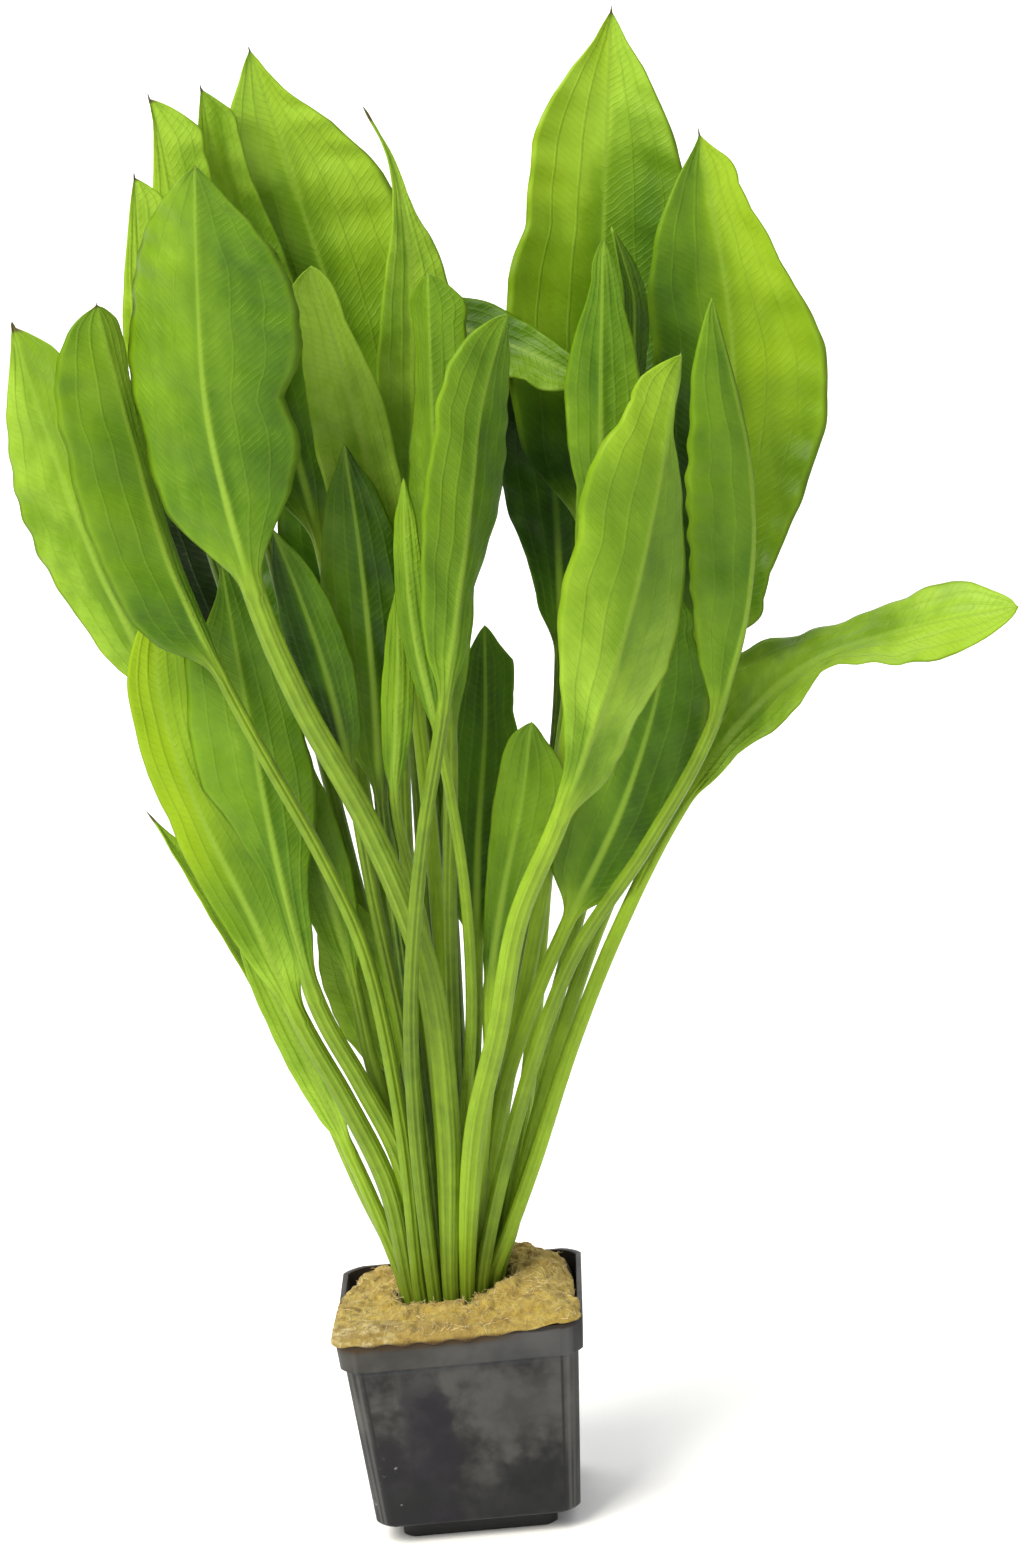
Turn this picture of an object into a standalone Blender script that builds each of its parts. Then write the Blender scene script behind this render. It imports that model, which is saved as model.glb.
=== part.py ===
"""Potted amazon sword plant: a square pot, its rockwool, a crown and a rosette of long-stalked leaves.

Sizes are in millimetres, and MM turns them into metres. The origin is the middle of the pot's foot, where it
stands. +Z is up, and the plant's front looks along -Y.
"""

import math

import bmesh
import bpy
from mathutils import Vector

MM = 0.001
GAP = 0.3  # between two pieces that touch

# the pot, a tapering square box with a band at the rim and a smaller foot
RIM_WIDTH = 54.0
RIM_TAPER = 1.2  # the band is this much narrower at its lower edge
RIM_BAND = 7.3
LEDGE = 1.4  # from the band's lower edge up to the ledge inside it
POT_HEIGHT = 49.0
BODY_TOP_WIDTH = 50.8
BODY_BOTTOM_WIDTH = 44.8
BODY_EDGE = 0.9  # the rounding of the body's lower edge
FOOT_WIDTH = 34.0
FOOT_HEIGHT = 4.4
CORNER = 5.0
WALL = 1.2
DRAIN_RADIUS = 2.0
DRAIN_OFFSET = 11.0
DRAINS = 4

# the rockwool, a block that fills the pot and is mounded round the crown
WOOL_EDGE = 49.4
WOOL_TOP = 52.2
WOOL_LUMP = 0.9
WOOL_LEAN = 0.07  # its top rises to the right by this much for each millimetre
WOOL_LIP = 1.5  # how far it hangs over the rim in front and on the left
WOOL_CORNER = 3.0  # how far it stays out of the two back corners
WOOL_STEPS = 40
WELL_RADIUS = 13.9
WELL_FLOOR = 37.5

# the crown, and the places on it that the leaves grow from: ring number -> radius and how many
CROWN_TOP = 43.7
CROWN_RADIUS = 11.2
CROWN_TAPER = 3.4
CROWN_OFFSET = -1.5  # it grows a little to the left of the pot's middle
ROOT_RINGS = {0: (0.0, 1), 1: (3.15, 6), 2: (6.3, 12), 3: (9.45, 18)}
ROOT_HEIGHT = CROWN_TOP + GAP + 0.1
NECK_HEIGHT = 54.0
NECK_SPREAD = 1.12

# leaves: a round stalk that flattens into a blade
STALK_BASE_WIDTH = 2.8
STALK_WIDTH = 3.8
STALK_FLATNESS = 0.74  # its depth as a share of its width
STALK_SWELL = 0.3  # the share of the leaf's length over which the stalk swells
STALK_TAPER = 0.42  # the share of its width that it has lost at the leaf's tip
STALK_ROUND = 0.7  # how far out and forward the stalk's corner points lie
BLADE_THICKNESS = 0.55
RIB_THICKNESS = 1.1
BLADE_QUARTER = 0.55  # where the blade's inner lines run between the midrib and the edge
BLADE_POINT = 1.55
SHOULDER = 0.16  # the share of the blade over which the stalk flattens into it
WAVES = 1.3  # along a blade's edge
WAVE_SHIFT = 1.3  # between the two edges, in radians
SPAN_STEPS = 12
STALK_STEP = 26.0
BLADE_STEPS = 9
SHORT_BLADE = 62.0
SHORT_BLADE_STEPS = 7

# where the plant is looked at from. Routes of leaves are drawn as they look from there on the upright plane
# through the pot's middle, and each point then slides along the line of sight to its own depth.
EYE = Vector((47.7, -979.0, 369.0))


def seen(across, height, depth):
    """The point that looks to be at (across, height) on the plane y = 0 and lies at y = depth."""
    k = 1 - depth / EYE.y
    return Vector((EYE.x + (across - EYE.x) * k, depth, EYE.z + (height - EYE.z) * k))


def toward(azimuth, elevation):
    """A direction: azimuth 0 looks at the viewer and grows to the right, elevation grows upward."""
    a, e = math.radians(azimuth), math.radians(elevation)
    return Vector((math.sin(a) * math.cos(e), -math.cos(a) * math.cos(e), math.sin(e)))


# Each leaf: the ring and place that it grows from, the points of its stalk and of its blade from the base to
# the tip as (across, height, depth), the blade's width, where it is widest (share of its length), the fold of
# its halves (plus closes toward the viewer), its edge's wave, the way that the seen face looks at the blade's
# base, middle and tip, and for some leaves the stalk's width (stem) and how sharp the tip is (point).
LEAVES = {
    "leaf_front_left": dict(
        root=(3, 0), width=39, widest=0.5, fold=-14, wave=0.8, stem=6.4,
        stalk=[(1, 89, -18), (0, 123, -26), (-9, 156, -34), (-21, 185, -40)],
        blade=[(-28, 208, -43), (-34, 247, -46), (-33, 278, -50), (-31, 301, -56)],
        face=[(-10, 0), (-22, 0), (-22, 0)],
    ),
    "leaf_front_right": dict(
        root=(3, 1), width=29, widest=0.5, fold=-16, wave=0.5, stem=5.4,
        stalk=[(7, 86, -21), (14, 108, -29), (21, 133, -36)],
        blade=[(31.5, 153, -41), (46.3, 185, -47), (57.2, 216, -51), (67, 252, -54)],
        face=[(15, 0), (28, 0), (30, 0)],
    ),
    "leaf_centre_right": dict(
        root=(3, 17), width=20, widest=0.55, fold=-12, wave=0.4,
        stalk=[(-6, 88, -19), (-4, 118, -30), (2, 152, -39)],
        blade=[(9, 179, -42), (18, 218, -44), (24, 246, -44), (31, 264, -43)],
        face=[(20, 0), (38, 0), (38, 0)],
    ),
    "leaf_centre": dict(
        root=(1, 0), width=15, widest=0.55, fold=-10, wave=0.3,
        stalk=[(3, 93, -11), (6, 133, -21)],
        blade=[(10, 171, -29), (12, 208, -31), (13.5, 243, -32), (15.5, 274, -34)],
        face=[(-10, 0), (-30, 0), (-20, 0)],
    ),
    "leaf_centre_young": dict(
        root=(2, 0), width=7, widest=0.5, fold=-5, wave=0.0, point=1.1, stem=3.0,
        stalk=[(5, 88, -13), (9, 115, -22), (10, 143, -29)],
        blade=[(8, 173, -35), (5, 198, -38), (5, 216, -39), (6, 231, -40)],
        face=[(-20, 0), (-20, 0), (-20, 0)],
    ),
    "leaf_inner_left": dict(
        root=(1, 3), width=20, widest=0.5, fold=6, wave=0.5, point=1.2,
        stalk=[(-2, 103, -2), (-2, 143, -8), (0, 175, -14)],
        blade=[(2, 195, -17), (0, 225, -20), (-4, 253, -22), (-9, 278, -27)],
        face=[(0, 0), (0, 0), (0, 20)],
    ),
    "leaf_inner_low": dict(
        root=(2, 11), width=19, widest=0.5, fold=-6, wave=0.4,
        stalk=[(-4, 93, -10), (-5, 128, -18)],
        blade=[(-6, 161, -24), (-5, 191, -27), (-5, 218, -28), (-6, 240, -29)],
        face=[(0, 0), (0, 0), (0, 0)],
    ),
    "leaf_heart": dict(
        root=(0, 0), width=7, widest=0.5, fold=-8, wave=0.0, stem=3.0,
        stalk=[(0.5, 95, -6), (0.5, 131, -15)],
        blade=[(-3, 161, -31), (-1, 178, -33), (1, 193, -34), (2, 208, -34)],
        face=[(0, 0), (0, 0), (0, 0)],
    ),
    "leaf_left": dict(
        root=(3, 16), width=32, widest=0.5, fold=-24, wave=0.5, point=1.2, stem=3.6,
        stalk=[(-9, 88, -15), (-13, 128, -21), (-20, 150, -25), (-31, 176, -28)],
        blade=[(-37, 191, -29), (-46, 218, -30), (-51, 246, -31), (-55, 274, -34)],
        face=[(20, 0), (32, 0), (30, 0)],
    ),
    "leaf_far_left": dict(
        root=(3, 13), width=21, widest=0.5, fold=8, wave=0.6, stem=4.0,
        stalk=[(-19.5, 77, 0.5), (-30, 113, -1.5), (-41, 151, -5)],
        blade=[(-49, 185, -7), (-61, 218, -8), (-68, 246, -9), (-73, 271, -11)],
        face=[(-20, 0), (-30, 0), (-30, 0)],
    ),
    "leaf_low_left": dict(
        root=(3, 15), width=13, widest=0.5, fold=8, wave=0.5, point=1.0, stem=5.0,
        stalk=[(-13.3, 75, -8), (-20.3, 95, -10)],
        blade=[(-28, 113, -11), (-36.5, 138, -12), (-46.5, 167, -13), (-51, 191, -14), (-49.5, 208, -14)],
        face=[(0, 0), (-8, 0), (0, 0)],
    ),
    "leaf_low_left_front": dict(
        root=(2, 10), width=24, widest=0.5, fold=-6, wave=0.6, stem=4.8,
        stalk=[(-10, 81, -9), (-16.7, 99, -12)],
        blade=[(-24.5, 118, -15.5), (-29.5, 148, -18.5), (-32.5, 183, -19), (-35, 220, -18)],
        face=[(0, 0), (-5, 0), (0, 0)],
    ),
    "leaf_low_left_inner": dict(
        root=(2, 9), width=13, widest=0.5, fold=6, wave=0.3, stem=3.8,
        stalk=[(-10, 83, -5), (-14, 103, -8)],
        blade=[(-16, 121, -10), (-20, 145, -10), (-24, 166, -10), (-27, 185, -9)],
        face=[(0, 0), (0, 0), (0, 0)],
    ),
    "leaf_low_small": dict(
        root=(1, 4), width=18, widest=0.5, fold=6, wave=0.2, stem=3.8,
        stalk=[(-7, 85, -1.5)],
        blade=[(-9, 99, -3), (-12, 114, -4), (-15, 128, -4), (-19, 144, -4)],
        face=[(0, 0), (0, 0), (0, 0)],
    ),
    "leaf_curled_left": dict(
        root=(3, 12), width=10, widest=0.4, fold=10, wave=0.4, stem=3.4,
        stalk=[(-15.5, 68, 5), (-21, 83, 4)],
        blade=[(-27, 103, 3), (-36, 125, 2), (-46, 146, 1), (-56, 163, 0)],
        face=[(40, 0), (60, 0), (50, 0)],
    ),
    "leaf_lowest_left": dict(
        root=(3, 14), width=9, widest=0.5, fold=6, wave=0.3, stem=3.8,
        stalk=[(-16.8, 71, -3)],
        blade=[(-20.6, 83, -4), (-28.8, 107, -5), (-34.3, 122, -6), (-40.3, 138, -7)],
        face=[(-10, 0), (-10, 0), (-10, 0)],
    ),
    "leaf_upper_left": dict(
        root=(2, 8), width=17, widest=0.5, fold=6, wave=0.5,
        stalk=[(-12, 103, 3), (-20, 143, 4), (-29, 188, -3)],
        blade=[(-36, 218, -9), (-41, 253, -12), (-44, 281, -14), (-44, 300, -16)],
        face=[(0, 0), (0, 0), (0, 0)],
    ),
    "leaf_tall_left": dict(
        root=(2, 7), width=17, widest=0.5, fold=6, wave=0.6,
        stalk=[(-8, 103, 7), (-14, 148, 8), (-21, 198, 2)],
        blade=[(-25, 228, -2), (-29, 261, -4), (-34, 291, -6), (-39, 316, -8)],
        face=[(0, 0), (0, 0), (0, 0)],
    ),
    "leaf_tall_left_inner": dict(
        root=(3, 11), width=20, widest=0.42, fold=6, wave=0.5,
        stalk=[(-7, 103, 13), (-9, 153, 13), (-11, 191, 8)],
        blade=[(-13, 217, 5), (-19, 255, 3), (-24, 289, 1), (-28, 317, -2)],
        face=[(0, 0), (0, 0), (0, 0)],
    ),
    "leaf_top_left": dict(
        root=(2, 6), width=32, widest=0.48, fold=8, wave=0.7,
        stalk=[(-1, 103, 10), (2, 153, 12), (3, 203, 12)],
        blade=[(1, 233, 11), (-4, 264, 9), (-10, 292, 7), (-17, 324, 3)],
        face=[(0, 0), (5, 0), (0, 0)],
    ),
    "leaf_curled_top": dict(
        root=(1, 2), width=17, widest=0.38, fold=6, wave=0.3, point=3.2,
        stalk=[(3, 103, -1), (4, 153, -3), (4, 193, -5)],
        blade=[(6, 219, -6), (11, 257, -8), (12, 285, -9), (10, 299, -9), (6, 309, -10)],
        face=[(10, 0), (15, 0), (40, 0)],
    ),
    "leaf_arching": dict(
        root=(3, 8), width=17, widest=0.5, fold=6, wave=0.6, point=1.2,
        stalk=[(5, 103, 16), (7, 153, 18), (6, 198, 17)],
        blade=[(7, 227, 15), (10.5, 249, 12), (19, 261.5, 8), (32, 257, 2), (46, 248.5, -4)],
        face=[(0, 0), (0, 10), (0, 20)],
    ),
    "leaf_top_right": dict(
        root=(3, 5), width=39, widest=0.44, fold=12, wave=0.7,
        stalk=[(20, 98, 4), (28, 143, 8), (37, 183, 10)],
        blade=[(43, 213, 11), (49, 248, 13), (54, 286, 13), (59, 325, 10)],
        face=[(0, 0), (0, 0), (0, 0)],
    ),
    "leaf_right": dict(
        root=(3, 4), width=37, widest=0.46, fold=8, wave=0.7, point=2.3,
        stalk=[(12.6, 63, -1.5), (21, 88, -3), (35, 123, -5), (50, 153, -7)],
        blade=[(64, 185, -9), (74, 219, -10), (78, 253, -10), (75, 298, -13)],
        face=[(0, 0), (5, 0), (0, 0)],
    ),
    "leaf_inner_right": dict(
        root=(2, 3), width=18, widest=0.5, fold=-6, wave=0.5,
        stalk=[(14, 93, -1), (24, 128, -10), (33, 163, -19)],
        blade=[(40, 191, -24), (47, 223, -27), (50, 251, -29), (53, 278, -31)],
        face=[(0, 0), (-5, 0), (0, 0)],
    ),
    "leaf_thin_right": dict(
        root=(2, 4), width=9, widest=0.5, fold=8, wave=0.2, stem=3.0,
        stalk=[(13, 98, 7), (25, 138, 0), (38, 183, -6)],
        blade=[(50, 225, -14), (56, 248, -17), (58, 265, -19), (55, 280, -20)],
        face=[(30, 0), (50, 0), (50, 0)],
    ),
    "leaf_shaded": dict(
        root=(3, 7), width=22, widest=0.5, fold=6, wave=0.5,
        stalk=[(14, 98, 14), (25, 136, 17), (32.6, 169, 19)],
        blade=[(35.5, 188, 20), (37.5, 217, 21), (38, 244, 21), (38, 269, 20)],
        face=[(0, 0), (0, 0), (0, 0)],
    ),
    "leaf_front_far_right": dict(
        root=(3, 2), width=24, widest=0.5, fold=-30, wave=0.4,
        stalk=[(17, 90, -14), (32, 123, -20), (50, 146, -25)],
        blade=[(66, 170, -28), (76.5, 197, -29), (79.5, 225, -31), (74.5, 263, -33)],
        face=[(20, 0), (42, 0), (42, 0)],
    ),
    "leaf_low_right": dict(
        root=(2, 2), width=23, widest=0.5, fold=6, wave=0.4,
        stalk=[(13, 91, -6), (22, 113, -11)],
        blade=[(31, 130, -14), (45, 154, -18), (55, 178, -20), (61, 201, -21)],
        face=[(0, 0), (0, 0), (0, 0)],
    ),
    "leaf_reaching_right": dict(
        root=(3, 3), width=21, widest=0.6, fold=6, wave=0.4,
        stalk=[(12.4, 63, -6.5), (19.2, 78, -8), (30.2, 104, -12), (42.2, 128, -14)],
        blade=[(57.5, 153, -15), (74, 172.5, -13), (90, 183.5, -11), (112, 188.5, -12), (134, 191, -15)],
        face=[(-10, 10), (0, 65), (0, 40)],
    ),
    "leaf_front_small": dict(
        root=(2, 1), width=18, widest=0.5, fold=-6, wave=0.4,
        stalk=[(9, 88, -12), (12, 103, -17)],
        blade=[(13, 116, -20), (18, 138, -23), (24, 158, -25), (28, 176, -27)],
        face=[(0, 0), (0, 0), (0, 0)],
    ),
    "leaf_back_low": dict(
        root=(2, 5), width=17, widest=0.5, fold=6, wave=0.8,
        stalk=[(6, 88, 9), (9, 108, 10)],
        blade=[(11, 125, 10), (14, 151, 10), (18, 176, 9), (20, 198, 8)],
        face=[(0, 0), (0, 0), (0, 0)],
    ),
    "leaf_inner_left_small": dict(
        root=(1, 5), width=12, widest=0.5, fold=-4, wave=0.3,
        stalk=[(-6, 103, -8), (-10, 143, -19)],
        blade=[(-12, 168, -29), (-15, 191, -34), (-19, 209, -35), (-23, 223, -36)],
        face=[(0, 0), (0, 0), (0, 0)],
    ),
    "leaf_behind_left": dict(
        root=(3, 10), width=28, widest=0.5, fold=8, wave=0.8,
        stalk=[(-9, 103, 23), (-16, 143, 31)],
        blade=[(-25, 178, 37), (-35, 211, 44), (-41, 239, 50), (-43, 263, 54)],
        face=[(0, 0), (0, 0), (0, 0)],
    ),
    "leaf_behind": dict(
        root=(3, 9), width=31, widest=0.5, fold=8, wave=0.8,
        stalk=[(0, 98, 25), (-2, 138, 34)],
        blade=[(-5, 171, 42), (-7, 206, 51), (-7, 238, 58), (-5, 261, 62)],
        face=[(0, 0), (0, 0), (0, 0)],
    ),
    "leaf_behind_right": dict(
        root=(3, 6), width=28, widest=0.5, fold=8, wave=0.8,
        stalk=[(22, 98, 14), (38, 143, 25)],
        blade=[(56, 185, 35), (66, 221, 43), (72, 249, 50), (76, 275, 54)],
        face=[(0, 0), (0, 0), (0, 0)],
    ),
}


def clear_scene():
    for thing in list(bpy.data.objects):
        bpy.data.objects.remove(thing, do_unlink=True)


def new_collection(name):
    group = bpy.data.collections.new(name)
    bpy.context.scene.collection.children.link(group)
    return group


def new_material(name, colour, roughness):
    material = bpy.data.materials.new(name)
    material.use_nodes = True
    shader = material.node_tree.nodes["Principled BSDF"]
    shader.inputs["Base Color"].default_value = (*colour, 1.0)
    shader.inputs["Roughness"].default_value = roughness
    shader.inputs["Metallic"].default_value = 0.0
    return material


def add_object(name, mesh_builder, group, material=None):
    """Turns a bmesh in millimetres into an object in metres."""
    bmesh.ops.scale(mesh_builder, vec=(MM, MM, MM), verts=mesh_builder.verts)
    bmesh.ops.recalc_face_normals(mesh_builder, faces=mesh_builder.faces)
    mesh = bpy.data.meshes.new(name)
    mesh_builder.to_mesh(mesh)
    mesh_builder.free()
    thing = bpy.data.objects.new(name, mesh)
    if material:
        mesh.materials.append(material)
    group.objects.link(thing)
    return thing


def loft(rings, tip=None):
    """A closed body through rings of equally many points, with a flat start and a tip or a flat end. The halves of
    a ring are split along the same diagonals, so that the two faces of a thin blade stay apart where it bends."""
    builder = bmesh.new()
    rows = [[builder.verts.new(point) for point in ring] for ring in rings]
    count = len(rows[0])
    for lower, upper in zip(rows, rows[1:]):
        for i in range(count):
            j = (i + 1) % count
            if i < count // 2:
                builder.faces.new((lower[i], lower[j], upper[j]))
                builder.faces.new((lower[i], upper[j], upper[i]))
            else:
                builder.faces.new((lower[i], lower[j], upper[i]))
                builder.faces.new((lower[j], upper[j], upper[i]))
    builder.faces.new(rows[0][::-1])
    if tip is None:
        builder.faces.new(rows[-1])
    else:
        end = builder.verts.new(tip)
        for i in range(count):
            builder.faces.new((rows[-1][i], rows[-1][(i + 1) % count], end))
    return builder


def tapered_box(name, bottom_width, top_width, bottom, top, corner, group, material=None, soft=0.0):
    """An upright box that tapers, with round corners and, if soft, a rounded bottom edge."""
    builder = bmesh.new()
    bmesh.ops.create_cube(builder, size=1.0)
    for vert in builder.verts:
        width, height = (top_width, top) if vert.co.z > 0 else (bottom_width, bottom)
        vert.co = Vector((vert.co.x * width, vert.co.y * width, height))
    upright = [e for e in builder.edges if abs(e.verts[0].co.z - e.verts[1].co.z) > 0.5 * (top - bottom)]
    bmesh.ops.bevel(builder, geom=upright, offset=corner, segments=3, profile=0.5, affect="EDGES")
    if soft:
        low = [e for e in builder.edges if all(abs(v.co.z - bottom) < 0.01 for v in e.verts)]
        bmesh.ops.bevel(builder, geom=low, offset=soft, segments=2, profile=0.5, affect="EDGES")
    return add_object(name, builder, group, material)


def combine(target, other, operation):
    step = target.modifiers.new(operation.lower() + "_" + other.name, "BOOLEAN")
    step.operation = operation
    step.object = other


def make_cutter(thing):
    thing.hide_render = True
    thing.display_type = "WIRE"


def build_pot(group, cutters):
    band_bottom = POT_HEIGHT - RIM_BAND
    band_width = RIM_WIDTH - RIM_TAPER
    overlap = 1.0  # of solids that are joined or cut
    plastic = new_material("dark_plastic", (0.045, 0.045, 0.048), 0.42)
    pot = tapered_box("pot", BODY_BOTTOM_WIDTH, BODY_TOP_WIDTH, FOOT_HEIGHT, band_bottom + overlap, CORNER,
                      group, plastic, soft=BODY_EDGE)
    rim = tapered_box("pot_rim", band_width, RIM_WIDTH, band_bottom, POT_HEIGHT, CORNER, cutters)
    foot = tapered_box("pot_foot", FOOT_WIDTH, FOOT_WIDTH + 1, 0.0, FOOT_HEIGHT + overlap, CORNER, cutters)
    hollow = tapered_box("pot_hollow", BODY_BOTTOM_WIDTH - 2 * WALL, BODY_TOP_WIDTH - 2 * WALL,
                         FOOT_HEIGHT + WALL, band_bottom + LEDGE + overlap, CORNER - WALL, cutters)
    mouth = tapered_box("pot_mouth", band_width - 2 * WALL, RIM_WIDTH - 2 * WALL, band_bottom + LEDGE,
                        POT_HEIGHT + overlap, CORNER - WALL, cutters)
    for piece in (rim, foot):
        combine(pot, piece, "UNION")
        make_cutter(piece)
    for piece in (hollow, mouth):
        combine(pot, piece, "DIFFERENCE")
        make_cutter(piece)
    for i in range(DRAINS):
        angle = 2 * math.pi * (i + 0.5) / DRAINS
        builder = bmesh.new()
        bmesh.ops.create_cone(builder, cap_ends=True, segments=12, radius1=DRAIN_RADIUS, radius2=DRAIN_RADIUS,
                              depth=3 * FOOT_HEIGHT)
        place = Vector((math.cos(angle) * DRAIN_OFFSET, math.sin(angle) * DRAIN_OFFSET, FOOT_HEIGHT))
        bmesh.ops.translate(builder, vec=place, verts=builder.verts)
        hole = add_object(f"pot_drain_{i + 1}", builder, cutters)
        combine(pot, hole, "DIFFERENCE")
        make_cutter(hole)


def square_reach(angle, half_width, corner):
    """How far a square with round corners reaches from its middle at an angle."""
    c, s = abs(math.cos(angle)), abs(math.sin(angle))
    flat = half_width / max(c, s)
    inner = half_width - corner
    along = (c + s) * inner
    square = along * along - (2 * inner * inner - corner * corner)
    rounded = along + math.sqrt(max(square, 0.0))
    in_corner = min(c, s) * flat > inner
    return rounded if in_corner else flat


def lump(x, y):
    """The rockwool's uneven top, from -1 to 1."""
    broad = math.sin(0.33 * x + 1.1) * math.cos(0.29 * y - 0.4)
    small = math.sin(0.61 * x - 0.47 * y + 2.0)
    return (broad + 0.6 * small) / 1.6


def wool_ring(reach, height, squareness, lumps, lip=0.0, corner=0.0, shift=0.0, lean=0.0):
    """A ring of the rockwool: square or round, with a lip to the front left and cut back corners behind."""
    points = []
    for i in range(WOOL_STEPS):
        angle = 2 * math.pi * i / WOOL_STEPS
        front_left = max(0.0, math.cos(angle - math.radians(235))) ** 0.5
        in_corner = max(0.0, math.cos(angle - math.radians(45)), math.cos(angle - math.radians(135))) ** 9
        out = reach + lip * front_left - corner * in_corner
        r = squareness * square_reach(angle, out, CORNER - WALL) + (1 - squareness) * out
        x, y = r * math.cos(angle) + shift, r * math.sin(angle)
        points.append((x, y, height + lumps * lump(x, y) + lean * WOOL_LEAN * x))
    return points


def build_rockwool(group):
    play = WALL + GAP + 0.2
    band_bottom = POT_HEIGHT - RIM_BAND
    ledge = band_bottom + LEDGE + GAP
    in_floor = BODY_BOTTOM_WIDTH / 2 - play
    in_body = BODY_TOP_WIDTH / 2 - play
    in_band = (RIM_WIDTH - RIM_TAPER) / 2 - play
    in_mouth = RIM_WIDTH / 2 - play
    rings = [
        wool_ring(in_floor, FOOT_HEIGHT + WALL + GAP, 1.0, 0.0),
        wool_ring(in_body, band_bottom + 0.9, 1.0, 0.0),
        wool_ring(in_body, ledge, 1.0, 0.0),
        wool_ring(in_band, ledge + 0.1, 1.0, 0.0),
        wool_ring(in_mouth, POT_HEIGHT + 0.2, 1.0, 0.0),
        wool_ring(in_mouth, WOOL_EDGE, 1.0, 0.0, lip=WOOL_LIP, corner=WOOL_CORNER),
        wool_ring(in_mouth - 0.4, WOOL_EDGE + 0.9, 0.95, 0.5 * WOOL_LUMP, lip=WOOL_LIP, corner=WOOL_CORNER,
                  lean=0.1),
        wool_ring(in_mouth - 2.8, WOOL_EDGE + 2.0, 0.8, WOOL_LUMP, corner=WOOL_CORNER, lean=0.5),
        wool_ring(in_mouth - 6.3, WOOL_TOP, 0.5, WOOL_LUMP, lean=1.0),
        wool_ring(WELL_RADIUS + 2.2, WOOL_TOP + 0.2, 0.2, WOOL_LUMP, shift=CROWN_OFFSET, lean=1.0),
        wool_ring(WELL_RADIUS, WOOL_TOP - 0.6, 0.0, 0.4 * WOOL_LUMP, shift=CROWN_OFFSET, lean=1.0),
        wool_ring(CROWN_RADIUS + GAP + 0.2, CROWN_TOP, 0.0, 0.0, shift=CROWN_OFFSET),
        wool_ring(CROWN_RADIUS - 2.5, WELL_FLOOR, 0.0, 0.0, shift=CROWN_OFFSET),
    ]
    add_object("rockwool", loft(rings), group, new_material("rockwool", (0.55, 0.38, 0.12), 0.95))


def build_crown(group):
    builder = bmesh.new()
    height = CROWN_TOP - WELL_FLOOR - GAP
    bmesh.ops.create_cone(builder, cap_ends=True, segments=24, radius1=CROWN_RADIUS - CROWN_TAPER,
                          radius2=CROWN_RADIUS, depth=height)
    bmesh.ops.translate(builder, vec=(CROWN_OFFSET, 0, CROWN_TOP - height / 2), verts=builder.verts)
    add_object("crown", builder, group, new_material("crown", (0.20, 0.16, 0.05), 0.8))


def smooth_route(points):
    """Many points along a smooth curve through a few (centripetal Catmull-Rom)."""
    ends = [2 * points[0] - points[1], *points, 2 * points[-1] - points[-2]]
    route = []
    for a, b, c, d in zip(ends, ends[1:], ends[2:], ends[3:]):
        t1 = (b - a).length ** 0.5
        t2 = t1 + (c - b).length ** 0.5
        t3 = t2 + (d - c).length ** 0.5
        for i in range(SPAN_STEPS):
            t = t1 + (t2 - t1) * i / SPAN_STEPS
            ab = a.lerp(b, t / t1)
            bc = b.lerp(c, (t - t1) / (t2 - t1))
            cd = c.lerp(d, (t - t2) / (t3 - t2))
            first = ab.lerp(bc, t / t2)
            second = bc.lerp(cd, (t - t1) / (t3 - t1))
            route.append(first.lerp(second, (t - t1) / (t2 - t1)))
    route.append(points[-1])
    return route


def along_route(route, share):
    """The point and the direction at a share of the route's length."""
    lengths = [(b - a).length for a, b in zip(route, route[1:])]
    left = share * sum(lengths)
    for a, b, length in zip(route, route[1:], lengths):
        if left <= length:
            return a.lerp(b, left / length), (b - a).normalized()
        left -= length
    return route[-1], (route[-1] - route[-2]).normalized()


def root_of(ring, place):
    """A place on the crown's top, counted from the front toward the right."""
    radius, count = ROOT_RINGS[ring]
    angle = 2 * math.pi * (place + (0.5 if ring == 2 else 0.0)) / count
    return Vector((radius * math.sin(angle), -radius * math.cos(angle), ROOT_HEIGHT))


def smooth_step(x):
    x = min(max(x, 0.0), 1.0)
    return x * x * (3 - 2 * x)


def blade_share(u, widest, point):
    """The blade's width at u of its length, as a share of its full width: sharper for more point."""
    if u <= 0 or u >= 1:
        return 0.0
    lance = (u / widest) ** widest * ((1 - u) / (1 - widest)) ** (1 - widest)
    return lance ** (BLADE_POINT if u < widest else point)


def stalk_width(leaf, share):
    """A stalk is thin on the crown, swells above its neighbours and thins again toward the blade."""
    swell = smooth_step(share / STALK_SWELL) * (leaf.get("stem", STALK_WIDTH) - STALK_BASE_WIDTH)
    return (STALK_BASE_WIDTH + swell) * (1 - STALK_TAPER * share)


def face_direction(faces, u):
    """Where the seen face looks: the first direction on the stalk, then through the three along the blade."""
    first, middle, last = (toward(*pair) for pair in faces)
    u = min(max(u, 0.0), 1.0)
    if u < 0.5:
        return first.lerp(middle, smooth_step(2 * u))
    return middle.lerp(last, smooth_step(2 * u - 1))


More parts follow.
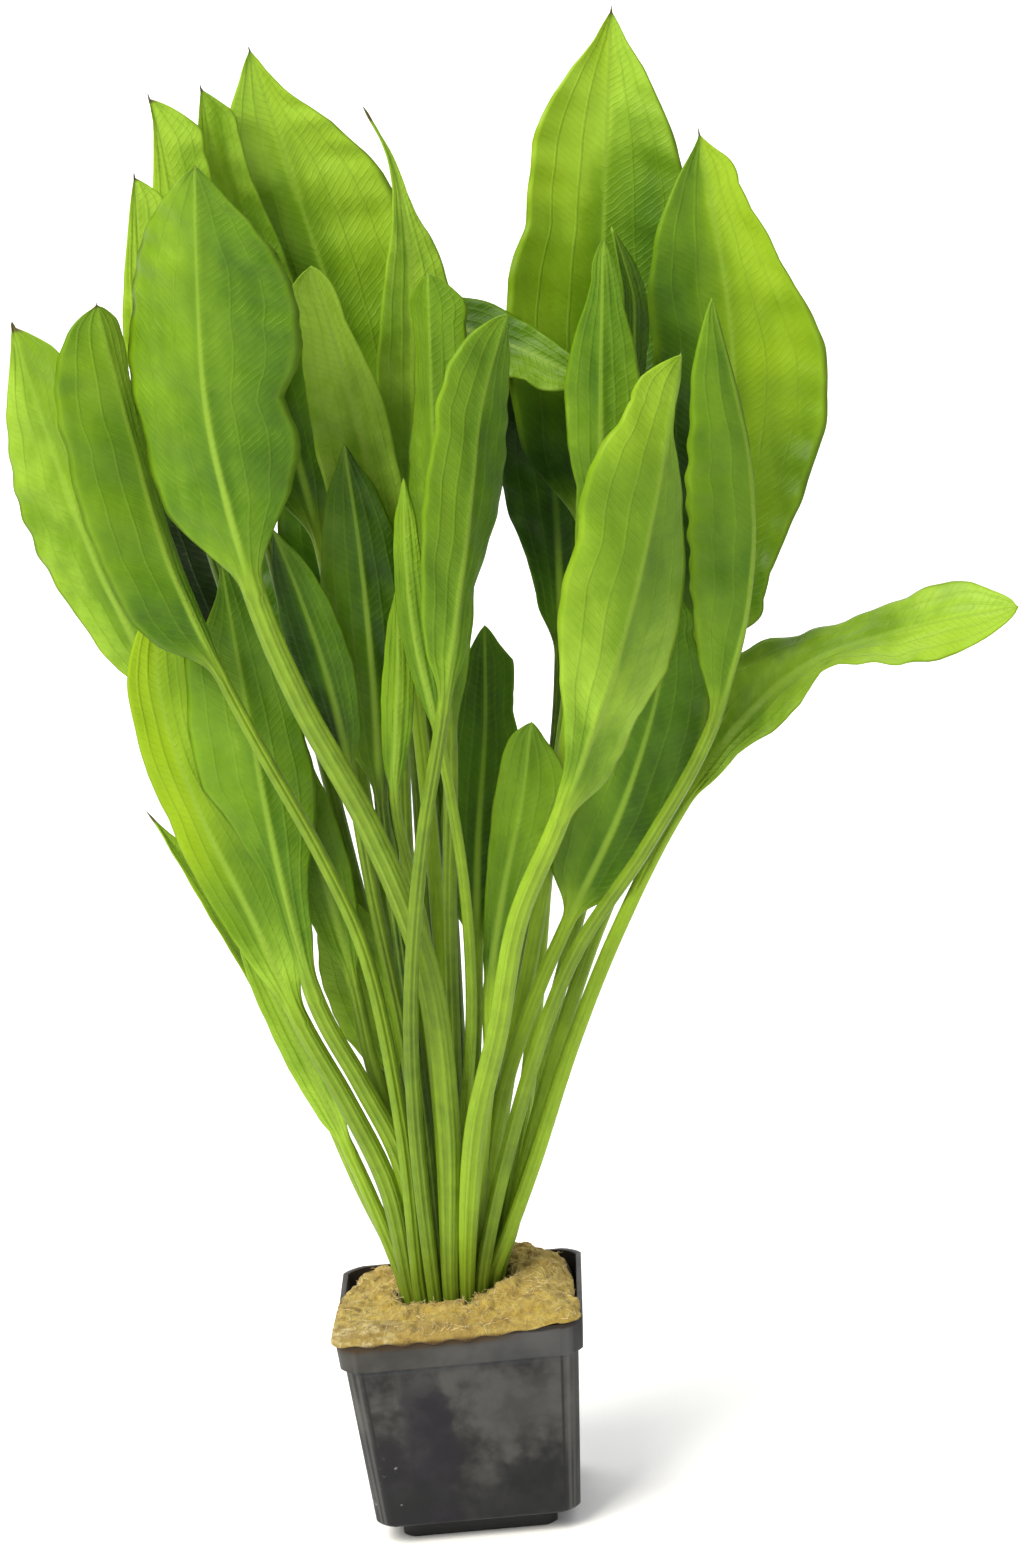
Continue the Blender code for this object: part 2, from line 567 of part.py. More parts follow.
def leaf_ring(leaf, centre, ahead, share, u):
    """The leaf's section at a share of its length, u of its blade: eight points round the stalk or blade."""
    out = face_direction(leaf["face"], u)
    out = (out - ahead * out.dot(ahead)).normalized()
    side = ahead.cross(out).normalized()
    flat = smooth_step(u / SHOULDER)
    stalk_half = 0.5 * stalk_width(leaf, share)
    blade_half = 0.5 * leaf["width"] * blade_share(u, leaf["widest"], leaf.get("point", BLADE_POINT))
    half = max(blade_half, stalk_half * (1 - 0.8 * flat))
    depth = stalk_half * STALK_FLATNESS
    rib = depth * (1 - flat) + 0.5 * RIB_THICKNESS * flat
    sheet = STALK_ROUND * depth * (1 - flat) + 0.5 * BLADE_THICKNESS * flat
    inner = BLADE_QUARTER if flat > 0 else STALK_ROUND
    fold = math.radians(leaf["fold"]) * flat
    ring = []
    front = [(inner, 1), (0, 1), (-inner, 1)]
    back = [(-inner, -1), (0, -1), (inner, -1)]
    for across, off in [(1, 0), *front, (-1, 0), *back]:
        phase = 2 * math.pi * WAVES * u + (WAVE_SHIFT if across > 0 else 0.0)
        wave = leaf["wave"] * flat * across ** 2 * math.sin(phase)
        lift = abs(across) * half * math.sin(fold) + wave + off * (rib if across == 0 else sheet)
        ring.append(centre + side * (across * half * math.cos(fold)) + out * lift)
    return ring


def build_leaf(name, leaf, group, material):
    root = root_of(*leaf["root"])
    neck = Vector((root.x * NECK_SPREAD, root.y * NECK_SPREAD, NECK_HEIGHT))
    for point in (root, neck):
        point.x += CROWN_OFFSET
    stalk = [root, neck] + [seen(*p) for p in leaf["stalk"]]
    route = smooth_route(stalk + [seen(*p) for p in leaf["blade"]])
    lengths = [(b - a).length for a, b in zip(route, route[1:])]
    whole = sum(lengths)
    blade_start = sum(lengths[: SPAN_STEPS * len(stalk)]) / whole
    stalk_steps = max(3, round(blade_start * whole / STALK_STEP))
    blade_steps = SHORT_BLADE_STEPS if (1 - blade_start) * whole < SHORT_BLADE else BLADE_STEPS

    shares = [blade_start * i / stalk_steps for i in range(stalk_steps)]
    shares += [blade_start + (1 - blade_start) * i / blade_steps for i in range(blade_steps)]
    rings = []
    for share in shares:
        centre, ahead = along_route(route, share)
        rings.append(leaf_ring(leaf, centre, ahead, share, (share - blade_start) / (1 - blade_start)))
    thing = add_object(name, loft(rings, route[-1]), group, material)
    thing.data.shade_smooth()
    thing.data.set_sharp_from_angle(angle=math.radians(60))


def main():
    clear_scene()
    plant = new_collection("potted_amazon_sword")
    cutters = new_collection("cutters")
    build_pot(plant, cutters)
    build_rockwool(plant)
    build_crown(plant)
    green = new_material("leaf", (0.13, 0.33, 0.02), 0.4)
    for name, leaf in LEAVES.items():
        build_leaf(name, leaf, plant, green)


main()
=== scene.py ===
import math

import bmesh
import bpy
import numpy as np
from mathutils import Matrix, Vector


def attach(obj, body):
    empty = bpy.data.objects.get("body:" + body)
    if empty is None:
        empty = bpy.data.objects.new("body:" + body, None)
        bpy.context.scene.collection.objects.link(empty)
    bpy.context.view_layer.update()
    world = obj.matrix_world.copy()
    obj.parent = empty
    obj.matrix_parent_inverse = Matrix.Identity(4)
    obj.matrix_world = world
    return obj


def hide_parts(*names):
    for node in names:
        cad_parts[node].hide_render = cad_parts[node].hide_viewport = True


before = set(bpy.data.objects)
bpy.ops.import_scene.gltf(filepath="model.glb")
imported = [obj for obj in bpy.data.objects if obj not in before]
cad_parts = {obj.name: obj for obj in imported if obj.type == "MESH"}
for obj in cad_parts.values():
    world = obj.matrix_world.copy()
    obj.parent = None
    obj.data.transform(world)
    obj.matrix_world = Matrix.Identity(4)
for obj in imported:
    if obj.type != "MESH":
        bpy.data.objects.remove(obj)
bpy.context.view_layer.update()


# The pot is moulded in one piece from thin dark plastic: a tapering square body with chamfered corners, a
# wider band round the rim for stacking, and a smaller square foot with four drain holes. It came out of its
# mould with a satin face, and is scuffed and water-marked near the foot.

# All sizes are in millimetres, apart from places in a material, which are in metres.
MM = 0.001
RIM_WIDTH = 54.0
RIM_TAPER = 1.2
RIM_BAND = 7.3
POT_HEIGHT = 49.0
BODY_TOP_WIDTH = 50.8
BODY_BOTTOM_WIDTH = 44.8
BODY_EDGE = 0.9
FOOT_WIDTH = 34.0
FOOT_HEIGHT = 4.4
CORNER = 5.0
EDGE_ROUNDING = 0.42
WALL = 1.2
DRAIN_RADIUS = 2.0
DRAIN_OFFSET = 11.0
DRAIN_HOLES = 4
CLOSE = 1e-5


def let_go():
    """Nothing is selected and nothing is in edit mode."""
    if bpy.context.object and bpy.context.object.mode != "OBJECT":
        bpy.ops.object.mode_set(mode="OBJECT")
    bpy.ops.object.select_all(action="DESELECT")


def name_piece(name):
    """The primitive that was just added gets its name, and its place and size go into its mesh."""
    piece = bpy.context.object
    piece.name = name
    piece.data.name = name
    bpy.ops.object.transform_apply(location=True, rotation=True, scale=True)
    return piece


def pick_faces(piece, test):
    """In edit mode, selects the faces whose middle and normal pass a test."""
    bpy.ops.mesh.select_mode(type="FACE")
    bpy.ops.mesh.select_all(action="DESELECT")
    shell = bmesh.from_edit_mesh(piece.data)
    for face in shell.faces:
        face.select_set(bool(test(face.calc_center_median(), face.normal)))
    bmesh.update_edit_mesh(piece.data)


def pick_edges(piece, test):
    """In edit mode, selects the edges whose two ends pass a test."""
    bpy.ops.mesh.select_mode(type="EDGE")
    bpy.ops.mesh.select_all(action="DESELECT")
    shell = bmesh.from_edit_mesh(piece.data)
    for edge in shell.edges:
        edge.select_set(bool(test(edge.verts[0].co, edge.verts[1].co)))
    bmesh.update_edit_mesh(piece.data)


def work_on(piece):
    """Only this piece is selected and active."""
    let_go()
    piece.select_set(True)
    bpy.context.view_layer.objects.active = piece


def press_on(piece, kind, **settings):
    """Adds a modifier with its settings and applies it."""
    work_on(piece)
    step = piece.modifiers.new(kind.lower(), kind)
    for key, value in settings.items():
        setattr(step, key, value)
    bpy.ops.object.modifier_apply(modifier=step.name)


def widen(before, after):
    """Scales what is selected about the upright axis, from one width to another."""
    bpy.ops.transform.resize(value=(after / before, after / before, 1))


def raise_by(height):
    """Draws out what is selected, up or down."""
    bpy.ops.mesh.extrude_region_move(TRANSFORM_OT_translate={"value": (0, 0, height)})


def mould_pot():
    """A cube is tapered into the body, then the band, the inside and the foot are drawn out of it."""
    let_go()
    body_top = (POT_HEIGHT - RIM_BAND) * MM
    foot_top = FOOT_HEIGHT * MM
    bpy.ops.mesh.primitive_cube_add(
        size=1,
        location=(0, 0, (body_top + foot_top) / 2),
        scale=(BODY_TOP_WIDTH * MM, BODY_TOP_WIDTH * MM, body_top - foot_top),
    )
    pot = name_piece("pot_shell")
    bpy.ops.object.mode_set(mode="EDIT")
    pick_faces(pot, lambda middle, normal: normal.z < -0.9)
    widen(BODY_TOP_WIDTH, BODY_BOTTOM_WIDTH)
    pick_edges(pot, lambda a, b: abs(a.z - b.z) > 0.01)
    bpy.ops.mesh.bevel(offset=0.8 * CORNER * MM, segments=4, profile=0.35, affect="EDGES")
    pick_edges(pot, lambda a, b: max(a.z, b.z) < foot_top + CLOSE)
    bpy.ops.mesh.bevel(offset=BODY_EDGE * MM, segments=3, affect="EDGES")
    pick_faces(pot, lambda middle, normal: normal.z > 0.9)
    bpy.ops.mesh.extrude_region_move()
    widen(BODY_TOP_WIDTH, RIM_WIDTH - RIM_TAPER)
    raise_by(RIM_BAND * MM)
    widen(RIM_WIDTH - RIM_TAPER, RIM_WIDTH)
    # the inner face goes down from the rim, in over the ledge, down the wall and into the foot
    bpy.ops.mesh.extrude_region_move()
    widen(RIM_WIDTH, RIM_WIDTH - 2 * WALL)
    raise_by((WALL - RIM_BAND) * MM)
    widen(RIM_WIDTH, RIM_WIDTH - RIM_TAPER)
    bpy.ops.mesh.extrude_region_move()
    widen(RIM_WIDTH - RIM_TAPER - 2 * WALL, BODY_TOP_WIDTH - 2 * WALL)
    raise_by(foot_top - body_top)
    widen(BODY_TOP_WIDTH - 2 * WALL, BODY_BOTTOM_WIDTH - 2 * WALL)
    bpy.ops.mesh.extrude_region_move()
    widen(BODY_BOTTOM_WIDTH - 2 * WALL, FOOT_WIDTH - 2 * WALL)
    raise_by(-FOOT_HEIGHT * MM)
    pick_faces(pot, lambda middle, normal: normal.z < -0.99 and middle.z < foot_top + CLOSE)
    bpy.ops.mesh.extrude_region_move()
    widen(BODY_BOTTOM_WIDTH - 2 * BODY_EDGE, FOOT_WIDTH)
    raise_by(-FOOT_HEIGHT * MM)
    bpy.ops.object.mode_set(mode="OBJECT")
    for i in range(DRAIN_HOLES):
        angle = math.radians(45 + 360 / DRAIN_HOLES * i)
        let_go()
        bpy.ops.mesh.primitive_cylinder_add(
            vertices=32,
            radius=DRAIN_RADIUS * MM,
            depth=3 * FOOT_HEIGHT * MM,
            location=(DRAIN_OFFSET * MM * math.cos(angle), DRAIN_OFFSET * MM * math.sin(angle), 0),
        )
        drill = name_piece("drain_drill")
        press_on(pot, "BOOLEAN", operation="DIFFERENCE", object=drill)
        bpy.data.objects.remove(drill, do_unlink=True)
    sharp = math.radians(32)
    press_on(pot, "BEVEL", width=EDGE_ROUNDING * MM, segments=3, limit_method="ANGLE", angle_limit=sharp)
    work_on(pot)
    bpy.ops.object.shade_smooth_by_angle(angle=math.radians(28))
    return pot


def sum_of(operation, turned=False):
    """A method for Wire that adds a Math node."""

    def method(self, other=0.0):
        pair = {0: other, 1: self} if turned else {0: self, 1: other}
        return self.finish.node("ShaderNodeMath", {"operation": operation}, pair)[0]

    return method


class Wire:
    """A value that runs between the nodes of a finish, so that sums on it are written as sums."""

    def __init__(self, finish, socket):
        self.finish, self.socket = finish, socket

    __add__ = __radd__ = sum_of("ADD")
    __sub__ = sum_of("SUBTRACT")
    __rsub__ = sum_of("SUBTRACT", turned=True)
    __mul__ = __rmul__ = sum_of("MULTIPLY")
    __truediv__ = sum_of("DIVIDE")
    __abs__ = sum_of("ABSOLUTE")
    root = sum_of("SQRT")
    sine = sum_of("SINE")
    or_more = sum_of("MAXIMUM")


class Finish:
    """A material, built node by node. Its place is where a point is on the object, in metres."""

    def __init__(self, name):
        self.material = bpy.data.materials.new(name)
        self.material.use_nodes = True
        self.tree = self.material.node_tree
        self.tree.nodes.clear()
        self.place = self.node("ShaderNodeTexCoord")[3]

    def node(self, kind, settings=None, sockets=None):
        """A node with its settings, then the values or wires of its sockets. Returns its outputs as wires."""
        made = self.tree.nodes.new(kind)
        for key, value in (settings or {}).items():
            if key == "stops":
                while len(made.color_ramp.elements) < len(value):
                    made.color_ramp.elements.new(0.5)
                for stop, (place, colour) in zip(made.color_ramp.elements, value):
                    stop.position = place
                    stop.color = (*colour, 1.0)
            else:
                setattr(made, key, value)
        for key, value in (sockets or {}).items():
            if isinstance(value, Wire):
                self.tree.links.new(value.socket, made.inputs[key])
            elif made.inputs[key].type == "RGBA" and len(value) == 3:
                made.inputs[key].default_value = (*value, 1.0)
            else:
                made.inputs[key].default_value = value
        return [Wire(self, out) for out in made.outputs]

    def coats(self, colour, *coats):
        """A colour under coats of others, each with the share of it that covers what is below."""
        for share, coat in coats:
            colour = self.node("ShaderNodeMix", {"data_type": "RGBA"}, {0: share, 6: colour, 7: coat})[2]
        return colour

    def ease(self, value, low, high, start=0.0, end=1.0):
        """Runs smoothly from start at low to end at high."""
        settings = {"interpolation_type": "SMOOTHSTEP"}
        return self.node("ShaderNodeMapRange", settings, {0: value, 1: low, 2: high, 3: start, 4: end})[0]

    def noise(self, scale, detail=3.0, roughness=0.5, stretch=(1, 1, 1)):
        """Cloudy noise from 0 to 1; scale is in lumps to the metre."""
        spread = self.node("ShaderNodeMapping", None, {"Vector": self.place, "Scale": stretch})[0]
        sockets = {"Vector": spread, "Scale": scale, "Detail": detail, "Roughness": roughness}
        return self.node("ShaderNodeTexNoise", None, sockets)[0]

    def parts(self, vector):
        """A vector's three numbers."""
        return self.node("ShaderNodeSeparateXYZ", None, {0: vector})

    def ramp(self, value, *stops):
        """A colour that runs through stops, each a value and its colour."""
        return self.node("ShaderNodeValToRGB", {"stops": stops}, {0: value})[0]

    def bump(self, height, strength, distance, under=None):
        """The surface's tilt under a relief, on top of another one. Its height is 0 to 1 of the distance."""
        sockets = {"Strength": strength, "Distance": distance * MM, "Height": height}
        return self.node("ShaderNodeBump", None, sockets | ({"Normal": under} if under else {}))[0]

    def surface(self, **sockets):
        """The main shader. Its sockets are named with underscores for spaces."""
        named = {name.replace("_", " "): value for name, value in sockets.items()}
        return self.node("ShaderNodeBsdfPrincipled", None, named)[0]

    def close(self, shader):
        """Ends the material in a shader."""
        self.node("ShaderNodeOutputMaterial", None, {"Surface": shader})
        return self.material


# In metres: the body's half width at the height of 0, and how much it grows with each metre up.
BODY_HALF_AT_FLOOR = 0.02205
BODY_SLOPE = 0.0804


def dark_plastic():
    """Satin near-black plastic with painted grey sheen on its upper right, painted shade on its lower left,
    darker damp patches low down, faint scratches, pale scuffs, and painted shade and highlight lines beside
    the corners.
    The band is greyer, with painted sheen toward the right and a painted highlight along its lower edge. The
    rim's edge and inner side are brown-black with painted shade and wet dirt, a painted shadow with a brown
    stain lies under the wool in front, and the right side has painted shade."""
    finish = Finish("dark_pot_plastic")
    x, y, height = finish.parts(finish.place)
    broad = finish.noise(48, detail=2)
    cloud = finish.noise(105, detail=3, roughness=0.55)
    mottle = finish.noise(300, detail=5, roughness=0.62)
    fine = finish.noise(1500, detail=3)
    scratch = finish.noise(420, detail=2, stretch=(1, 1, 0.08))
    ragged = (cloud - 0.5) * 0.010
    half = BODY_HALF_AT_FLOOR + height * BODY_SLOPE

    def beside_corner(side, where, spread):
        """A line beside a corner that runs with the taper, for the painted shade and highlight lines there.
        """
        return finish.ease(abs(abs(side) / half - where), spread, 0.006)

    patchy = finish.ease(cloud * 0.7 + mottle * 0.3, 0.38, 0.66)
    # painted sheen on the upper right of the front, and painted shade on the lower left
    painted_sheen = finish.ease(x, -0.004, 0.006) * finish.ease(abs(height - 0.031), 0.010, 0.002)
    shade = finish.ease(x + (cloud - 0.5) * 0.016, -0.004, -0.016) * finish.ease(height, 0.030, 0.016)
    # a dark stripe left of the middle, damp blotches near the foot, and pale scuffs at the lower left
    stripe = finish.ease(abs(x + 0.0085 + ragged), 0.0062, 0.0036) * finish.ease(height, 0.044, 0.034)
    blotch = finish.ease(abs(x - 0.012 + ragged), 0.0075, 0.0035)
    blotch = blotch * finish.ease(abs(height - 0.0145 + ragged), 0.0065, 0.003)
    damp = finish.ease(height + ragged, 0.0205, 0.0095) * finish.ease(broad + cloud * 0.4, 0.50, 0.72)
    scuffed = finish.ease(finish.noise(330, detail=4, roughness=0.7), 0.63, 0.70)
    low = finish.ease(abs(height - 0.013), 0.009, 0.003) * finish.ease(x, -0.009, -0.014)
    # the band is greyer, with painted sheen toward the right, and a painted highlight along its lower edge
    band = finish.ease(height, 0.0412, 0.0422)
    sheen_to_right = finish.ease(x + ragged, -0.012, 0.008)
    grey = finish.coats((0.052, 0.049, 0.044), (sheen_to_right, (0.064, 0.065, 0.067)))
    under = finish.ease(abs(height - 0.0410), 0.0009, 0.0002)
    # painted shade with wet dirt inside the band, on its edge and on its right side, and a painted shadow
    # with a
    #     # brown stain in front, under the wool
    inward = (abs(x).or_more(abs(y)) - 0.0261).or_more((abs(x) + abs(y) - 0.0490) * 0.8)
    inside = finish.ease(inward, 0.0, -0.0003) * finish.ease(height, 0.0415, 0.0425)
    edge = finish.ease(height + (mottle - 0.5) * 0.0012, 0.0476, 0.0483)
    right = finish.ease(x, 0.0256, 0.0262) * band
    shadow_and_stain = finish.ease(height + (mottle - 0.5) * 0.0016, 0.0458, 0.0474) * finish.ease(x, 0.016, 0.004)
    # painted shade darkens the right side, and the foot is a little greyer
    turned = finish.ease(x - height * 0.08, 0.0203, 0.0214) * finish.ease(y, 0.0, -0.016)
    foot = finish.ease(height, 0.0046, 0.0038) * finish.ease(abs(height - 0.002), 0.0024, 0.0016)
    # painted shade in a dark line and a painted highlight in a pale line, beside each corner
    painted_crease_shade, painted_ridge_highlight = (0.008, 0.008, 0.009), (0.11, 0.11, 0.105)
    colour = finish.coats(
        (0.012, 0.012, 0.013),
        (patchy, (0.062, 0.060, 0.058)),
        (painted_sheen * 0.45, (0.080, 0.078, 0.074)),
        (shade * 0.7, (0.010, 0.008, 0.014)),
        (stripe * 0.72, (0.012, 0.010, 0.016)),
        ((blotch * 0.85).or_more(damp * 0.8), (0.007, 0.008, 0.009)),
        (scuffed * low * 0.8, (0.34, 0.34, 0.35)),
        (beside_corner(x, 0.855, 0.020) * 0.75, painted_crease_shade),
        (beside_corner(x, 0.905, 0.022) * 0.4, painted_ridge_highlight),
        (beside_corner(y, 0.855, 0.020) * 0.75, painted_crease_shade),
        (beside_corner(y, 0.905, 0.022) * 0.4, painted_ridge_highlight),
        (band * (0.35 + cloud * 0.7), grey),
        (under * 0.25, (0.060, 0.066, 0.080)),
        (inside.or_more(edge).or_more(right * 0.85) * 0.92, (0.014, 0.009, 0.005)),
        (shadow_and_stain * finish.ease(y, -0.020, -0.025) * 0.9, (0.050, 0.027, 0.006)),
        (turned * 0.62, (0.010, 0.010, 0.010)),
        (foot * 0.5, (0.040, 0.042, 0.038)),
    )
    rough = 0.40 + 0.20 * mottle + 0.10 * scratch - 0.12 * damp
    relief = finish.bump(fine * 0.5 + scratch * 0.5, 0.35, 0.12)
    relief = finish.bump(broad * 0.6 + cloud * 0.4, 0.45, 0.7, relief)
    return finish.close(
        finish.surface(Base_Color=colour, Roughness=rough, Normal=relief, Specular_IOR_Level=0.22)
    )


pot = mould_pot()
pot.data.materials.append(dark_plastic())
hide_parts("pot")
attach(pot, "root")


# The rockwool is a block of spun mineral fibre that was pressed into the pot round the plant's crown. It is
# # golden tan, with painted shade in its cracks, at the back and on its front lip, painted shade with damp
# round
# # the stalks, and painted shadow with dirt under the edge that hangs over the rim. It hangs a little over
# the rim
# # in front and on the left, and doesn't fill the two back corners. Loose ends of fibre stand out of it.

WOOL_EDGE = 49.4
WOOL_TOP = 52.2
WOOL_LUMP = 0.9
WOOL_LIP = 2.2
WOOL_HANG = 1.7
WOOL_CORNER = 3.0
WOOL_LEAN = 0.1
WELL_RADIUS = 12.4
WELL_FLOOR = 37.5
CROWN_TOP = 43.7
CROWN_RADIUS = 11.2
CROWN_OFFSET = -1.5
WOOL_AROUND = 300
WOOL_DOWN = 90
# The top is heaped behind the stalks on the right and sunk on the left, and cracks run in from its front
# edge. Each is the (x, y) of its middle with its reach across and along, and its height or depth.
HEAP = (13, 9, 8, 8), 1.7
HOLLOW = (-20, -4, 9, 16), 0.8
CRACKS = [
    ((2.5, -14.5, 0.9, 2.6), 2.4),
    ((-17, -17, 0.8, 2.2), 1.5),
    ((-9, -22, 1.0, 2.0), 1.8),
    ((12, -20, 0.7, 2.2), 1.0),
    ((-21, -4, 2.0, 0.7), 1.1),
]
# Each layer of lumps: how wide they are and how high.
LUMPS = [(4.2, 2.0), (1.7, 1.5), (0.7, 0.8)]
FIBRES = 520
FIBRE_LENGTH = 3.2
FIBRE_RADIUS = 0.045


def square_reach(angle, half_width, corner):
    """How far a square with round corners reaches from its middle at an angle."""
    c, s = np.abs(np.cos(angle)), np.abs(np.sin(angle))
    flat = half_width / np.maximum(c, s)
    inner = half_width - corner
    along = (c + s) * inner
    rounded = along + np.sqrt(np.maximum(along**2 - (2 * inner**2 - corner**2), 0.0))
    return np.where(np.minimum(c, s) * flat > inner, rounded, flat)


def lump(x, y):
    """The rockwool's uneven top, from -1 to 1."""
    broad = np.sin(0.33 * x + 1.1) * np.cos(0.29 * y - 0.4)
    small = np.sin(0.61 * x - 0.47 * y + 2.0)
    return (broad + 0.6 * small) / 1.6


def bulge(x, y, spot):
    """1 at a spot's middle, falling to 0 round it."""
    middle_x, middle_y, across, along = spot
    return np.exp(-(((x - middle_x) / across) ** 2) - ((y - middle_y) / along) ** 2)


def wool_ring(angle, reach, height, squareness, lumps, lip, corner, shift, lean, hang):
    """One ring of the rockwool: square or round, with a lip to the front left and cut back corners behind.
    It leans up to the right, and the lip hangs down where it is over the rim."""
    front_left = np.maximum(0.0, np.cos(angle - math.radians(245))) ** 0.5
    back = np.maximum(np.cos(angle - math.radians(45)), np.cos(angle - math.radians(135)))
    out = reach + lip * front_left - corner * np.maximum(back, 0.0) ** 9
    r = squareness * square_reach(angle, out, CORNER - WALL) + (1 - squareness) * out
    x, y = r * np.cos(angle) + shift, r * np.sin(angle)
    heap = HEAP[1] * bulge(x, y, HEAP[0]) - HOLLOW[1] * bulge(x, y, HOLLOW[0])
    over = np.clip((out - RIM_WIDTH / 2 - 0.05) / 0.1, 0, 1)
    over = over * np.maximum(0.0, np.cos(angle - math.radians(262))) ** 3
    drop = hang * over * (1 + 0.25 * np.sin(0.9 * x))
    z = height + lumps * lump(x, y) + lean * (WOOL_LEAN * x + heap) - drop
    return np.stack([x, y, z], axis=1)


def lay_grid(name, across, along):
    """A flat grid, and for each of its points how far across and how far along it is, from 0 to 1."""
    let_go()
    bpy.ops.mesh.primitive_grid_add(x_subdivisions=across, y_subdivisions=along, size=1)
    piece = name_piece(name)
    spots = np.empty(len(piece.data.vertices) * 3)
    piece.data.vertices.foreach_get("co", spots)
    spots = spots.reshape(-1, 3)
    return piece, spots[:, 0] + 0.5, spots[:, 1] + 0.5


def wrap_grid(piece, places, gap):
    """The grid's points go to their places, the points that meet are joined, and its two ends are closed."""
    piece.data.vertices.foreach_set("co", (places * MM).ravel())
    bpy.ops.object.mode_set(mode="EDIT")
    bpy.ops.mesh.select_all(action="SELECT")
    bpy.ops.mesh.remove_doubles(threshold=gap * MM)
    bpy.ops.mesh.select_mode(type="EDGE")
    bpy.ops.mesh.select_all(action="DESELECT")
    bpy.ops.mesh.select_non_manifold()
    bpy.ops.mesh.fill_holes(sides=0)
    bpy.ops.mesh.select_all(action="SELECT")
    bpy.ops.mesh.normals_make_consistent(inside=False)
    bpy.ops.object.mode_set(mode="OBJECT")


def pack_rockwool():
    """A sheet is wrapped round the block's sides and over its top into the well, and then roughened."""
    wool, around, down = lay_grid("rockwool_block", WOOL_AROUND, WOOL_DOWN)
    play = WALL + 0.5
    mouth = RIM_WIDTH / 2 - play
    ledge = POT_HEIGHT - RIM_BAND
    lump_height, lip, cut, hang = WOOL_LUMP, WOOL_LIP, WOOL_CORNER, WOOL_HANG
    # from the floor over the top into the well: how far along the sheet it is, then what wool_ring is given:
    # reach, height, squareness, lumps, lip, corner, shift, lean, hang
    rings = [
        (0.0, BODY_BOTTOM_WIDTH / 2 - play, FOOT_HEIGHT + 1.5, 1.0, 0, 0, 0, 0, 0, 0),
        (0.07, BODY_TOP_WIDTH / 2 - play, ledge + 1.7, 1.0, 0, 0, 0, 0, 0, 0),
        (0.09, mouth - 0.3, ledge + 2.2, 1.0, 0, 0, 0, 0, 0, 0),
        (0.12, mouth - 0.1, POT_HEIGHT - 0.6, 1.0, 0, 0, 0.6 * cut, 0, 0, 0),
        (0.14, mouth, POT_HEIGHT + 0.15, 1.0, 0, 0, cut, 0, 0, 0),
        (0.17, mouth, POT_HEIGHT + 0.2, 1.0, 0, lip, cut, 0, 0, 0),
        (0.2, mouth, POT_HEIGHT + 0.25, 1.0, 0, 1.03 * lip, cut, 0, 0, hang),
        (0.23, mouth, POT_HEIGHT + 0.4, 1.0, 0, 1.2 * lip, cut, 0, 0, 0.85 * hang),
        (0.28, mouth - 0.2, WOOL_EDGE + 0.3, 1.0, 0.2 * lump_height, 1.15 * lip, cut, 0, 0.05, 0.3 * hang),
        (0.35, mouth - 0.8, WOOL_EDGE + 1.1, 0.95, 0.6 * lump_height, 0.8 * lip, cut, 0, 0.2, 0),
        (0.46, mouth - 2.8, WOOL_EDGE + 2.0, 0.8, lump_height, 0.3 * lip, cut, 0, 0.6, 0),
        (0.58, mouth - 6.3, WOOL_TOP, 0.5, lump_height, 0, 0, 0.3 * CROWN_OFFSET, 1, 0),
        (0.70, WELL_RADIUS + 2.2, WOOL_TOP + 0.4, 0.2, lump_height, 0, 0, CROWN_OFFSET + 0.3, 1, 0),
        (0.79, WELL_RADIUS + 0.5, WOOL_TOP, 0.0, 0.5 * lump_height, 0, 0, CROWN_OFFSET + 0.5, 0.9, 0),
        (0.86, WELL_RADIUS - 0.3, WOOL_TOP - 1.6, 0.0, 0.2 * lump_height, 0, 0, CROWN_OFFSET + 0.4, 0.6, 0),
        (0.95, CROWN_RADIUS + 0.6, CROWN_TOP, 0.0, 0, 0, 0, CROWN_OFFSET, 0, 0),
        (1.0, CROWN_RADIUS - 2.5, WELL_FLOOR, 0.0, 0, 0, 0, CROWN_OFFSET, 0, 0),
    ]
    stops, *levels = np.array(rings).T
    places = wool_ring(2 * math.pi * around, *(np.interp(down, stops, level) for level in levels))
    for spot, depth in CRACKS:
        near = bulge(places[:, 0], places[:, 1], spot)
        places[:, 2] -= depth * near * np.clip((places[:, 2] - POT_HEIGHT) / 2, 0, 1)
    wrap_grid(wool, places, 0.02)
    top = wool.vertex_groups.new(name="top")
    for i, vert in enumerate(wool.data.vertices):
        top.add([i], min(max((vert.co.z / MM - POT_HEIGHT + 0.2) / 1.2, 0.0), 1.0), "REPLACE")
    for width, height in LUMPS:
        clouds = bpy.data.textures.new("wool_clouds", "CLOUDS")
        clouds.noise_scale = width * MM
        clouds.noise_depth = 2
        press_on(
            wool, "DISPLACE", texture=clouds, texture_coords="LOCAL", strength=height * MM, mid_level=0.55,
            vertex_group="top",
        )
    work_on(wool)
    bpy.ops.object.shade_smooth()
    return wool


